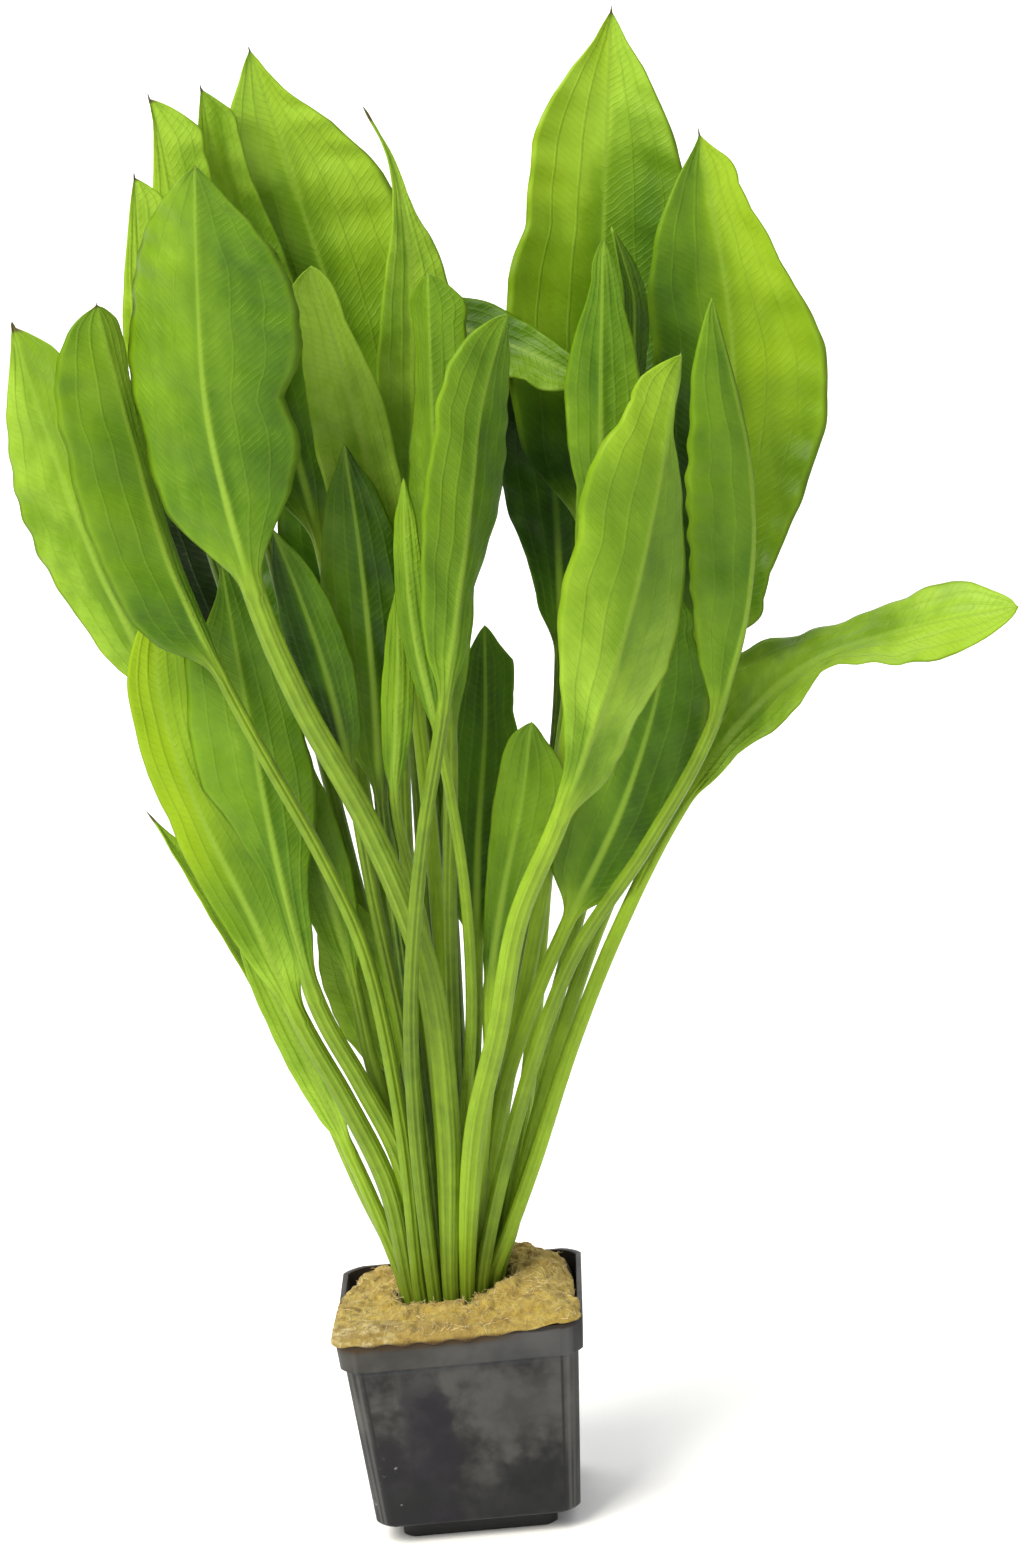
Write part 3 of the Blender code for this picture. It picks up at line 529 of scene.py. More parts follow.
def mineral_wool():
    """Matted fibre: golden where it is dry, with painted brown shade in the cracks and fine threads all over.
    """
    finish = Finish("rockwool_fibre")
    x, y, height = finish.parts(finish.place)
    broad = finish.noise(120, detail=3)
    clumps = finish.noise(520, detail=5, roughness=0.65)
    lumps = finish.noise(300, detail=2)
    grain = finish.noise(2300, detail=4, roughness=0.7)
    threads = finish.noise(900, detail=4, roughness=0.7, stretch=(1, 0.25, 1))
    crossing = finish.noise(900, detail=4, roughness=0.7, stretch=(0.25, 1, 1))
    thread = finish.ease(threads, 0.48, 0.72) * 0.6 + finish.ease(crossing, 0.50, 0.74) * 0.5
    # painted shade, dark brown, in random cracks
    crack_shade = finish.ease(finish.noise(230, detail=4, roughness=0.65), 0.44, 0.33)
    lip = finish.ease(y + x * 0.3, -0.020, -0.026)
    frayed = lip * finish.ease(clumps, 0.48, 0.62) * finish.ease(x, -0.008, -0.020)
    off = x - CROWN_OFFSET * MM
    # painted shade with damp, in a ring round the stalks
    shade_and_damp_by_stalks = finish.ease((off * off + y * y).root() + (clumps - 0.5) * 0.003, 0.0152, 0.0122)
    gold = finish.ramp(
        clumps * 0.46 + lumps * 0.26 + grain * 0.28,
        (0.30, (0.10, 0.060, 0.013)),
        (0.44, (0.29, 0.20, 0.042)),
        (0.56, (0.44, 0.33, 0.078)),
        (0.74, (0.67, 0.57, 0.23)),
    )
    # browner in places; painted shade at the back and on the lip; painted shade with damp by the stalks; and
    #     # painted shadow with dirt on the edge that hangs below the rim
    colour = finish.coats(
        gold,
        (thread * 0.4, (0.74, 0.63, 0.27)),
        (finish.ease(broad, 0.48, 0.70) * 0.45, (0.38, 0.25, 0.045)),
        (crack_shade * 0.75, (0.17, 0.10, 0.024)),
        (finish.ease(y, 0.006, 0.021) * 0.15, (0.25, 0.165, 0.05)),
        (lip * 0.5, (0.27, 0.185, 0.060)),
        (frayed * 0.35, (0.74, 0.66, 0.42)),
        (shade_and_damp_by_stalks * 0.8, (0.085, 0.080, 0.012)),
        (finish.ease(height, 0.0490, 0.0476), (0.085, 0.048, 0.016)),
    )
    relief = finish.bump(clumps * 0.5 + grain * 0.3 + thread * 0.4, 0.95, 1.0)
    return finish.close(
        finish.surface(
            Base_Color=colour,
            Roughness=0.95,
            Normal=relief,
            Specular_IOR_Level=0.1,
            Sheen_Weight=0.1,
            Sheen_Roughness=0.5,
        )
    )


def scatter_fibres(wool):
    """One fibre is made of a thin stick and bent. Copies of it are strewn over the top, half sunk in it."""
    let_go()
    bpy.ops.mesh.primitive_cylinder_add(
        vertices=3, radius=FIBRE_RADIUS * MM, depth=FIBRE_LENGTH * MM, end_fill_type="NGON"
    )
    fibre = name_piece("rockwool_fibres")
    bpy.ops.object.mode_set(mode="EDIT")
    pick_edges(fibre, lambda a, b: abs(a.z - b.z) > 1 * MM)
    bpy.ops.mesh.subdivide(number_cuts=4)
    bpy.ops.object.mode_set(mode="OBJECT")
    for vert in fibre.data.vertices:
        share = vert.co.z / (FIBRE_LENGTH / 2 * MM)
        vert.co.x += 0.35 * MM * share**2
        vert.co.y += 0.22 * MM * math.sin(2.2 * share)
    chance = np.random.default_rng(5)
    spots = [(v.co.copy(), v.normal.copy()) for v in wool.data.vertices if v.co.z > (POT_HEIGHT + 0.8) * MM]
    copies = []
    for n in range(FIBRES):
        spot, out = spots[int(chance.integers(len(spots)))]
        lean = Vector(chance.normal(size=3)).normalized()
        lie = (lean - out * lean.dot(out) * 0.85).normalized()
        copy = fibre
        if n:
            copy = fibre.copy()
            copy.data = fibre.data.copy()
            bpy.context.collection.objects.link(copy)
        copies.append(copy)
        copy.location = spot + out * 0.05 * MM
        copy.rotation_mode = "QUATERNION"
        copy.rotation_quaternion = lie.to_track_quat("Z", "Y")
        copy.scale = (1, 1, float(chance.uniform(0.5, 1.25)))
    work_on(fibre)
    for copy in copies:
        copy.select_set(True)
    bpy.ops.object.join()
    bpy.ops.object.transform_apply(location=True, rotation=True, scale=True)
    bpy.ops.object.shade_smooth()
    return fibre


def fibre_gold():
    """Loose fibres are plain gold, some paler."""
    finish = Finish("rockwool_thread")
    pale = finish.ease(finish.noise(200, detail=1), 0.35, 0.65)
    colour = finish.coats((0.52, 0.35, 0.12), (pale, (0.84, 0.68, 0.38)))
    return finish.close(finish.surface(Base_Color=colour, Roughness=0.6))


wool = pack_rockwool()
wool.data.materials.append(mineral_wool())
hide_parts("rockwool")
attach(wool, "root")
fibres = scatter_fibres(wool)
fibres.data.materials.append(fibre_gold())
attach(fibres, "root")


# The crown is the plant's short stem, sunk in the rockwool. Every leaf grows from it. It is brownish green,
# rough and ringed with the scars of old leaves. Its solid has the right shape, so it only gets a finish.


def crown_skin():
    """Brownish green, ringed and rough, and darker toward its foot."""
    finish = Finish("crown_skin")
    low = finish.ease(finish.parts(finish.place)[2], 0.0437, 0.039)
    rough = finish.noise(700, detail=4, roughness=0.65)
    rings = finish.noise(260, detail=3, stretch=(0.3, 0.3, 3))
    scarred = finish.ease(rough * 0.6 + rings * 0.4, 0.35, 0.65)
    colour = finish.coats((0.055, 0.05, 0.012), (scarred, (0.22, 0.24, 0.05)), (low, (0.10, 0.06, 0.02)))
    relief = finish.bump(rough * 0.5 + rings * 0.5, 0.8, 0.6)
    return finish.close(finish.surface(Base_Color=colour, Roughness=0.7, Normal=relief))


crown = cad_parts["crown"]
crown.data.materials.clear()
crown.data.materials.append(crown_skin())


# The leaves grow from the crown in four rings. Each is one piece: a fleshy ribbed stalk that flattens into
# a thin lance-shaped blade with a strong midrib, two arching veins in each half, fine cross veins, a wavy
# edge and a dry brown point. Some show their upper face, and some, turned by their stalks, the paler lower.

GAP = 0.3
ROOT_RINGS = {0: (0.0, 1), 1: (3.15, 6), 2: (6.3, 12), 3: (9.45, 18)}
ROOT_HEIGHT = CROWN_TOP + GAP + 0.1
NECK_HEIGHT = 54.0
NECK_SPREAD = 1.12
STALK_BASE_WIDTH = 3.4
STALK_WIDTH = 3.8
STALK_FLATNESS = 0.74
STALK_SWELL = 0.22
STALK_TAPER = 0.35
BLADE_THICKNESS = 0.5
RIB_THICKNESS = 1.1
BLADE_WIDEST = 0.5
BLADE_POINT = 1.55
SHOULDER = 0.16
WAVES = 1.3
WAVE_SHIFT = 1.3
# The surface's relief: ripples toward the edge, broad swells between, the bulge between the veins, and the
# groove over the midrib, with the lengths of the ripples and swells and where the two veins of a half run.
RIPPLE, RIPPLE_LENGTH = 0.42, 19
SWELL, SWELL_LENGTH = 0.5, 47
QUILT, GROOVE = 0.14, 0.35
VEINS = 0.34, 0.67
DRY_POINT = 1.7
SPAN_STEPS = 12
AROUND = 44
ALONG = 150
# Where the photo was taken from.
EYE = Vector((47.7, -979.0, 369.0))


def seen(across, height, depth):
    """The point that looks to be at (across, height) on the plane y = 0 and lies at y = depth."""
    k = 1 - depth / EYE.y
    return Vector((EYE.x + (across - EYE.x) * k, depth, EYE.z + (height - EYE.z) * k))


def toward(azimuth, elevation):
    """A direction: azimuth 0 looks at the viewer and grows to the right, elevation grows upward."""
    a, e = math.radians(azimuth), math.radians(elevation)
    return Vector((math.sin(a) * math.cos(e), -math.cos(a) * math.cos(e), math.sin(e)))


# Each leaf has:
# root: the ring of the crown and the place in it that it grows from
# width, widest: the blade's width, and where it is widest as a share of its length
# fold, wave: how far its halves fold up toward the viewer in degrees, and how high its edge waves
# stem, point: the stalk's width and how sharp the blade's tip is, where they aren't the usual ones
# face, tilt: which way the seen face looks at the blade's base, middle and tip, right and up in degrees
# stalk, blade: the points of the leaf's line from the base to the tip, as (across, height, depth)
# light, yellow: painted light and shade on the left half and the right half, and how yellow each is, around 0
# # base, tip, stalk_light: painted light (shade below 0) added at the blade's ends, and the stalk's painted
# light
# dry: how brown and dry its point is, from 0 to about 1
# edge: in percent, how far along the blade, and how wide its left and its right half are beside a plain lance
# roll: which edge (left is -1, right is 1) rolls toward the viewer, and how far
LEAVES = {
    "leaf_front_left": dict(
        root=(3, 0), width=39, fold=-14, wave=0.8, stem=6.4, face=(-10, -22, -22),
        stalk=[(1, 89, -18), (0, 123, -26), (-9, 156, -34), (-21, 185, -40)],
        blade=[(-28, 208, -43), (-34, 247, -46), (-33, 278, -50), (-31, 301, -56)],
        light=(0.22, -0.03), yellow=(0.1, 0), base=0.15, tip=0.15, stalk_light=0.05, dry=0.3,
        edge=[(5, 80, 60), (15, 85, 71), (22, 100, 90), (30, 100, 97), (38, 97, 92), (46, 100, 81),
            (53, 104, 100), (65, 103, 113), (78, 104, 127), (88, 104, 118), (96, 95, 95)],
    ),
    "leaf_front_right": dict(
        root=(3, 1), width=29, fold=-16, wave=0.5, stem=5.4, face=(15, 28, 30),
        stalk=[(7, 86, -21), (14, 108, -29), (21, 133, -36)],
        blade=[(31.5, 153, -41), (46.3, 185, -47), (57.2, 216, -51), (67, 252, -54)],
        light=(0.78, 0.82), yellow=(0.3, 0.05), base=0.1, tip=-0.25, stalk_light=0.6, dry=0.25,
        edge=[(5, 68, 200), (10, 45, 150), (15, 45, 100), (20, 60, 95), (25, 70, 90), (30, 80, 103),
            (35, 86, 120), (40, 93, 114), (45, 100, 112), (50, 104, 101), (55, 102, 94), (60, 100, 88),
            (65, 106, 72), (70, 120, 64), (75, 127, 52), (80, 133, 34), (85, 127, 15), (90, 130, 10),
            (95, 190, 30)],
    ),
    "leaf_centre_right": dict(
        root=(3, 17), width=20, widest=0.55, fold=-12, wave=0.4, face=(20, 38, 38),
        stalk=[(-6, 88, -19), (-4, 118, -30), (2, 152, -39)],
        blade=[(9, 179, -42), (18, 218, -44), (24, 246, -44), (31, 264, -43)],
        light=(0.15, 0), yellow=(0.15, 0), base=0.2, tip=0.4, stalk_light=-0.05, dry=0.2,
        edge=[(15, 100, 67), (20, 100, 60), (25, 100, 50), (30, 100, 47), (35, 100, 60), (40, 100, 75),
            (50, 100, 98), (70, 100, 102), (80, 120, 100), (90, 150, 92), (95, 160, 80)],
    ),
    "leaf_centre": dict(
        root=(1, 0), width=15, widest=0.55, fold=-10, wave=0.3, face=(-10, -30, -20),
        stalk=[(3, 93, -11), (6, 133, -21)],
        blade=[(10, 171, -29), (12, 208, -31), (13.5, 243, -32), (15.5, 274, -34)],
        light=(0.55, 0.4), yellow=(0.1, 0.05), stalk_light=-0.2, dry=0.2,
        edge=[(55, 110, 100), (60, 106, 100), (65, 92, 100), (70, 78, 105), (75, 70, 115), (80, 71, 130),
            (85, 74, 153), (90, 98, 187), (95, 165, 290)],
    ),
    "leaf_centre_young": dict(
        root=(2, 0), width=7, fold=-5, wave=0, stem=3, point=1.1, face=(-20, -20, -20),
        stalk=[(5, 88, -13), (9, 115, -22), (10, 143, -29)],
        blade=[(8, 173, -35), (5, 198, -38), (5, 216, -39), (6, 231, -40)],
        light=(0.35, 0.3), yellow=(0.2, 0.15), base=0.15, tip=0.2, stalk_light=0.3, dry=0.3,
    ),
    "leaf_inner_left": dict(
        root=(1, 3), width=20, fold=6, wave=0.5, point=1.2, tilt=(0, 0, 20),
        stalk=[(-2, 103, -2), (-2, 143, -8), (0, 175, -14)],
        blade=[(2, 195, -17), (0, 225, -20), (-4, 253, -22), (-9, 278, -27)],
        light=(1.15, 1.2), yellow=(0.1, 0.1), base=-0.8, stalk_light=0, dry=0.1,
        edge=[(50, 100, 62), (60, 100, 67), (70, 97, 64), (75, 96, 60), (80, 92, 55), (85, 90, 52),
            (90, 105, 64), (95, 180, 80)],
    ),
    "leaf_inner_low": dict(
        root=(2, 11), width=19, fold=-6, wave=0.4,
        stalk=[(-4, 93, -10), (-5, 128, -18)],
        blade=[(-6, 161, -24), (-5, 191, -27), (-5, 218, -28), (-6, 240, -29)],
        light=(0.05, -0.6), base=0.5, tip=0.15, stalk_light=-0.65, dry=0.1,
    ),
    "leaf_heart": dict(
        root=(0, 0), width=7, fold=-8, wave=0, stem=3,
        stalk=[(0.5, 95, -6), (0.5, 131, -15)],
        blade=[(-3, 161, -31), (-1, 178, -33), (1, 193, -34), (2, 208, -34)],
        light=(0.5, 0.45), yellow=(0.3, 0.2), stalk_light=0.15, dry=0.2,
    ),
    "leaf_left": dict(
        root=(3, 16), width=32, fold=-24, wave=0.5, stem=3.6, point=1.2, face=(20, 32, 30),
        stalk=[(-9, 88, -15), (-13, 128, -21), (-20, 150, -25), (-31, 176, -28)],
        blade=[(-37, 191, -29), (-46, 218, -30), (-51, 246, -31), (-55, 274, -34)],
        light=(0, 0.65), yellow=(0.15, 0.1), base=-0.25, tip=0.4, stalk_light=0.15, dry=0.7,
        edge=[(5, 100, 30), (20, 100, 25), (35, 88, 25), (50, 86, 25), (65, 90, 27), (80, 105, 34),
            (87, 115, 50), (95, 130, 80)],
    ),
    "leaf_far_left": dict(
        root=(3, 13), width=21, fold=8, wave=0.6, stem=4, face=(-20, -30, -30),
        stalk=[(-19.5, 77, 0.5), (-30, 113, -1.5), (-41, 151, -5)],
        blade=[(-49, 185, -7), (-61, 218, -8), (-68, 246, -9), (-73, 271, -11)],
        light=(0.85, 0.35), yellow=(0.1, 0.3), tip=0.2, stalk_light=0.5, dry=0.9,
        edge=[(10, 100, 100), (30, 100, 100), (35, 108, 100), (45, 116, 100), (55, 126, 100), (62, 130, 100),
            (70, 118, 100), (80, 110, 115), (85, 100, 170), (90, 88, 250), (95, 70, 320)],
    ),
    "leaf_low_left": dict(
        root=(3, 15), width=13, fold=8, wave=0.5, stem=5, point=1, face=(0, -8, 0),
        stalk=[(-13.3, 75, -8), (-20.3, 95, -10)],
        blade=[(-28, 113, -11), (-36.5, 138, -12), (-46.5, 167, -13), (-51, 191, -14), (-49.5, 208, -14)],
        light=(0.62, 0.42), yellow=(0.8, 0.3), base=0.7, stalk_light=0.15, dry=0.3,
        edge=[(10, 100, 160), (20, 105, 170), (30, 110, 180), (40, 115, 170), (50, 110, 150), (55, 105, 130),
            (60, 115, 100), (65, 125, 80), (70, 125, 85), (75, 125, 100), (80, 130, 122), (85, 140, 140),
            (90, 147, 161), (95, 150, 130)],
    ),
    "leaf_low_left_front": dict(
        root=(2, 10), width=24, fold=-6, wave=0.6, stem=4.8, face=(0, -5, 0),
        stalk=[(-10, 81, -9), (-16.7, 99, -12)],
        blade=[(-24.5, 118, -15.5), (-29.5, 148, -18.5), (-32.5, 183, -19), (-35, 220, -18)],
        light=(0.25, 0.08), base=0.45, stalk_light=0.2, dry=0.1,
        edge=[(20, 30, 50), (25, 30, 52), (30, 33, 62), (35, 50, 77), (40, 66, 85), (45, 88, 93),
            (50, 112, 95), (60, 118, 95), (70, 122, 95), (80, 128, 95), (85, 76, 95), (90, 43, 90),
            (95, 20, 90)],
    ),
    "leaf_low_left_inner": dict(
        root=(2, 9), width=13, fold=6, wave=0.3, stem=3.8,
        stalk=[(-10, 83, -5), (-14, 103, -8)],
        blade=[(-16, 121, -10), (-20, 145, -10), (-24, 166, -10), (-27, 185, -9)],
        light=(0.42, 0.32), base=0.15, stalk_light=-0.1, dry=0.1,
    ),
    "leaf_low_small": dict(
        root=(1, 4), width=18, fold=6, wave=0.2, stem=3.8,
        stalk=[(-7, 85, -1.5)],
        blade=[(-9, 99, -3), (-12, 114, -4), (-15, 128, -4), (-19, 144, -4)],
        light=(1.2, 0.6), base=0.1, stalk_light=0, dry=0.1,
    ),
    "leaf_curled_left": dict(
        root=(3, 12), width=10, widest=0.4, fold=10, wave=0.4, stem=3.4, face=(40, 60, 50),
        stalk=[(-15.5, 68, 5), (-21, 83, 4)],
        blade=[(-27, 103, 3), (-36, 125, 2), (-46, 146, 1), (-56, 163, 0)],
        light=(2.2, 2), yellow=(0.3, 0.3), stalk_light=0.6, dry=1.2,
    ),
    "leaf_lowest_left": dict(
        root=(3, 14), width=9, fold=6, wave=0.3, stem=3.8, face=(-10, -10, -10),
        stalk=[(-16.8, 71, -3)],
        blade=[(-20.6, 83, -4), (-28.8, 107, -5), (-34.3, 122, -6), (-40.3, 138, -7)],
        light=(0.9, 0.75), yellow=(0.2, 0.1), base=0.6, stalk_light=0.6, dry=0.2,
    ),
    "leaf_upper_left": dict(
        root=(2, 8), width=17, fold=6, wave=0.5,
        stalk=[(-12, 103, 3), (-20, 143, 4), (-29, 188, -3)],
        blade=[(-36, 218, -9), (-41, 253, -12), (-44, 281, -14), (-44, 300, -16)],
        light=(0.9, 0.7), yellow=(0.3, 0.2), tip=0.6, stalk_light=-0.5, dry=0.8,
        edge=[(60, 90, 100), (65, 83, 100), (70, 77, 100), (75, 70, 100), (80, 62, 100), (85, 55, 120),
            (90, 50, 150), (95, 50, 240)],
    ),
    "leaf_tall_left": dict(
        root=(2, 7), width=17, fold=6, wave=0.6,
        stalk=[(-8, 103, 7), (-14, 148, 8), (-21, 198, 2)],
        blade=[(-25, 228, -2), (-29, 261, -4), (-34, 291, -6), (-39, 316, -8)],
        light=(1.2, 0.4), yellow=(0.4, 0.2), base=-0.3, tip=0.7, stalk_light=-0.3, dry=0.9,
        edge=[(70, 105, 100), (75, 105, 100), (80, 85, 130), (85, 70, 160), (90, 52, 230), (95, 30, 240)],
    ),
    "leaf_tall_left_inner": dict(
        root=(3, 11), width=20, widest=0.42, fold=6, wave=0.5,
        stalk=[(-7, 103, 13), (-9, 153, 13), (-11, 191, 8)],
        blade=[(-13, 217, 5), (-19, 255, 3), (-24, 289, 1), (-28, 317, -2)],
        light=(0.25, 0.1), yellow=(0.3, 0), base=-0.5, tip=0.7, stalk_light=0.3, dry=0.8,
        edge=[(80, 105, 100), (85, 105, 120), (90, 105, 160), (95, 100, 270)],
    ),
    "leaf_top_left": dict(
        root=(2, 6), width=32, widest=0.48, fold=8, wave=0.7, face=(0, 5, 0),
        stalk=[(-1, 103, 10), (2, 153, 12), (3, 203, 12)],
        blade=[(1, 233, 11), (-4, 264, 9), (-10, 292, 7), (-17, 324, 3)],
        light=(0.2, 0.8), yellow=(0, 0.3), base=-0.5, tip=1.1, stalk_light=-0.5, dry=0.7,
        edge=[(50, 100, 125), (65, 100, 130), (75, 105, 120), (80, 110, 112), (85, 110, 90), (90, 110, 66),
            (95, 95, 52)],
    ),
    "leaf_curled_top": dict(
        root=(1, 2), width=17, widest=0.38, fold=6, wave=0.3, point=3.2, face=(10, 15, 40),
        stalk=[(3, 103, -1), (4, 153, -3), (4, 193, -5)],
        blade=[(6, 219, -6), (11, 257, -8), (12, 285, -9), (10, 299, -9), (6, 309, -10)],
        light=(0.68, 0.85), yellow=(0, 0.1), base=-0.45, tip=0.6, stalk_light=0.95, dry=1.4,
        edge=[(45, 100, 115), (55, 100, 120), (65, 100, 120), (70, 100, 105), (75, 100, 70), (80, 100, 60),
            (90, 100, 80)],
    ),
    "leaf_arching": dict(
        root=(3, 8), width=17, fold=6, wave=0.6, point=1.2, tilt=(0, 10, 20),
        stalk=[(5, 103, 16), (7, 153, 18), (6, 198, 17)],
        blade=[(7, 227, 15), (10.5, 249, 12), (19, 261.5, 8), (32, 257, 2), (46, 248.5, -4)],
        light=(-0.55, -0.3), yellow=(0, 0.1), tip=1.2, stalk_light=-0.5, dry=0.1,
        edge=[(50, 85, 100), (55, 82, 100), (65, 84, 100), (75, 85, 100), (85, 82, 105), (90, 85, 140),
            (95, 100, 160)],
    ),
    "leaf_top_right": dict(
        root=(3, 5), width=39, widest=0.44, fold=12, wave=0.7, roll=(-1, 1.5),
        stalk=[(20, 98, 4), (28, 143, 8), (37, 183, 10)],
        blade=[(43, 213, 11), (49, 248, 13), (54, 286, 13), (59, 325, 10)],
        light=(0.66, -0.2), yellow=(0.6, 0), base=-2.1, tip=1.6, stalk_light=0.7, dry=0.9,
        edge=[(40, 105, 100), (50, 106, 108), (60, 97, 110), (70, 106, 112), (76, 118, 114), (85, 124, 108),
            (90, 113, 103), (95, 85, 85)],
    ),
    "leaf_right": dict(
        root=(3, 4), width=37, widest=0.46, fold=8, wave=0.7, point=2.3, face=(0, 5, 0), roll=(1, 3),
        stalk=[(12.6, 63, -1.5), (21, 88, -3), (35, 123, -5), (50, 153, -7)],
        blade=[(64, 185, -9), (74, 219, -10), (78, 253, -10), (75, 298, -13)],
        light=(-0.28, 0.4), yellow=(0, 0.6), base=-0.4, tip=0.75, stalk_light=0.35, dry=0.8,
        edge=[(5, 100, 180), (10, 100, 140), (15, 100, 89), (20, 100, 76), (30, 100, 84), (40, 100, 93),
            (50, 100, 107), (60, 97, 114), (65, 109, 110), (70, 122, 100), (75, 138, 100), (80, 145, 109),
            (85, 163, 112), (90, 180, 140), (95, 200, 240)],
    ),
    "leaf_inner_right": dict(
        root=(2, 3), width=18, fold=-6, wave=0.5, face=(0, -5, 0),
        stalk=[(14, 93, -1), (24, 128, -10), (33, 163, -19)],
        blade=[(40, 191, -24), (47, 223, -27), (50, 251, -29), (53, 278, -31)],
        light=(0.5, 0.4), stalk_light=0.8, dry=0.2,
        edge=[(40, 56, 100), (45, 72, 100), (50, 78, 100), (55, 82, 100), (65, 90, 100), (70, 90, 97),
            (75, 83, 94), (80, 75, 88), (85, 60, 82), (90, 56, 85), (95, 84, 90)],
    ),
    "leaf_thin_right": dict(
        root=(2, 4), width=9, fold=8, wave=0.2, stem=3, face=(30, 50, 50),
        stalk=[(13, 98, 7), (25, 138, 0), (38, 183, -6)],
        blade=[(50, 225, -14), (56, 248, -17), (58, 265, -19), (55, 280, -20)],
        light=(-0.08, -0.1), yellow=(0, 0.1), stalk_light=-0.3, dry=0.2,
    ),
    "leaf_shaded": dict(
        root=(3, 7), width=22, fold=6, wave=0.5,
        stalk=[(14, 98, 14), (25, 136, 17), (32.6, 169, 19)],
        blade=[(35.5, 188, 20), (37.5, 217, 21), (38, 244, 21), (38, 269, 20)],
        light=(-0.95, -0.85), base=1, stalk_light=-0.7, dry=0.1,
        edge=[(8, 78, 100), (19, 70, 100), (29, 76, 95), (40, 95, 92), (50, 105, 92), (90, 105, 90)],
    ),
    "leaf_front_far_right": dict(
        root=(3, 2), width=24, fold=-30, wave=0.4, face=(20, 42, 42),
        stalk=[(17, 90, -14), (32, 123, -20), (50, 146, -25)],
        blade=[(66, 170, -28), (76.5, 197, -29), (79.5, 225, -31), (74.5, 263, -33)],
        light=(0.4, 0.15), yellow=(0, 0.1), base=0.2, stalk_light=0.1, dry=0.3,
        edge=[(5, 100, 40), (10, 105, 20), (20, 110, 15), (50, 115, 15), (90, 110, 15), (95, 100, 40)],
    ),
    "leaf_low_right": dict(
        root=(2, 2), width=23, fold=6, wave=0.4,
        stalk=[(13, 91, -6), (22, 113, -11)],
        blade=[(31, 130, -14), (45, 154, -18), (55, 178, -20), (61, 201, -21)],
        light=(0.1, -0.2), base=0.5, stalk_light=0.75, dry=0.1,
        edge=[(10, 130, 100), (30, 120, 100), (60, 100, 105), (65, 100, 110), (70, 100, 115), (75, 100, 117),
            (80, 100, 114), (85, 100, 105), (90, 100, 100), (95, 120, 150)],
    ),
    "leaf_reaching_right": dict(
        root=(3, 3), width=21, widest=0.6, fold=6, wave=0.4, face=(-10, 0, 0), tilt=(10, 65, 40),
        stalk=[(12.4, 63, -6.5), (19.2, 78, -8), (30.2, 104, -12), (42.2, 128, -14)],
        blade=[(57.5, 153, -15), (74, 172.5, -13), (90, 183.5, -11), (112, 188.5, -12), (134, 191, -15)],
        light=(0.6, 0.85), yellow=(0.2, 0.4), base=0.35, tip=0.7, stalk_light=0.85, dry=0.2,
        edge=[(10, 100, 100), (15, 110, 80), (20, 130, 70), (25, 155, 80), (30, 160, 93), (35, 160, 100),
            (40, 138, 90), (45, 124, 78), (50, 92, 42), (55, 87, 50), (60, 78, 74), (65, 84, 88),
            (70, 84, 113), (75, 88, 114), (80, 105, 125), (85, 118, 120), (90, 120, 115), (95, 105, 110)],
    ),
    "leaf_front_small": dict(
        root=(2, 1), width=18, fold=-6, wave=0.4,
        stalk=[(9, 88, -12), (12, 103, -17)],
        blade=[(13, 116, -20), (18, 138, -23), (24, 158, -25), (28, 176, -27)],
        light=(0.35, 0.3), yellow=(0.1, 0.1), stalk_light=1, dry=0.1,
        edge=[(10, 45, 70), (20, 39, 70), (30, 41, 75), (40, 45, 80), (50, 53, 90), (60, 61, 100),
            (70, 77, 120), (75, 80, 135), (80, 88, 146), (85, 100, 150), (90, 117, 142), (95, 150, 120)],
    ),
    "leaf_back_low": dict(
        root=(2, 5), width=17, fold=6, wave=0.8,
        stalk=[(6, 88, 9), (9, 108, 10)],
        blade=[(11, 125, 10), (14, 151, 10), (18, 176, 9), (20, 198, 8)],
        light=(0.1, -0.1), stalk_light=0.5, dry=0.1,
        edge=[(65, 100, 100), (70, 100, 95), (75, 100, 87), (80, 100, 100), (85, 100, 128), (90, 110, 160),
            (95, 110, 130)],
    ),
    "leaf_inner_left_small": dict(
        root=(1, 5), width=12, fold=-4, wave=0.3,
        stalk=[(-6, 103, -8), (-10, 143, -19)],
        blade=[(-12, 168, -29), (-15, 191, -34), (-19, 209, -35), (-23, 223, -36)],
        light=(-0.95, -0.1), tip=0.3, stalk_light=0, dry=0.1,
    ),
    "leaf_behind_left": dict(
        root=(3, 10), width=28, fold=8, wave=0.8,
        stalk=[(-9, 103, 23), (-16, 143, 31)],
        blade=[(-25, 178, 37), (-35, 211, 44), (-41, 239, 50), (-43, 263, 54)],
        light=(-0.9, 0), tip=0.4, stalk_light=-0.7, dry=0.4,
    ),
    "leaf_behind": dict(
        root=(3, 9), width=31, fold=8, wave=0.8,
        stalk=[(0, 98, 25), (-2, 138, 34)],
        blade=[(-5, 171, 42), (-7, 206, 51), (-7, 238, 58), (-5, 261, 62)],
        light=(-0.5, -0.4), yellow=(0, 0.1), tip=0.4, stalk_light=-0.7, dry=0.4,
    ),
    "leaf_behind_right": dict(
        root=(3, 6), width=28, fold=8, wave=0.8,
        stalk=[(22, 98, 14), (38, 143, 25)],
        blade=[(56, 185, 35), (66, 221, 43), (72, 249, 50), (76, 275, 54)],
        light=(-0.3, -0.2), yellow=(0, 0.1), tip=0.4, stalk_light=0.15, dry=0.5,
    ),
}


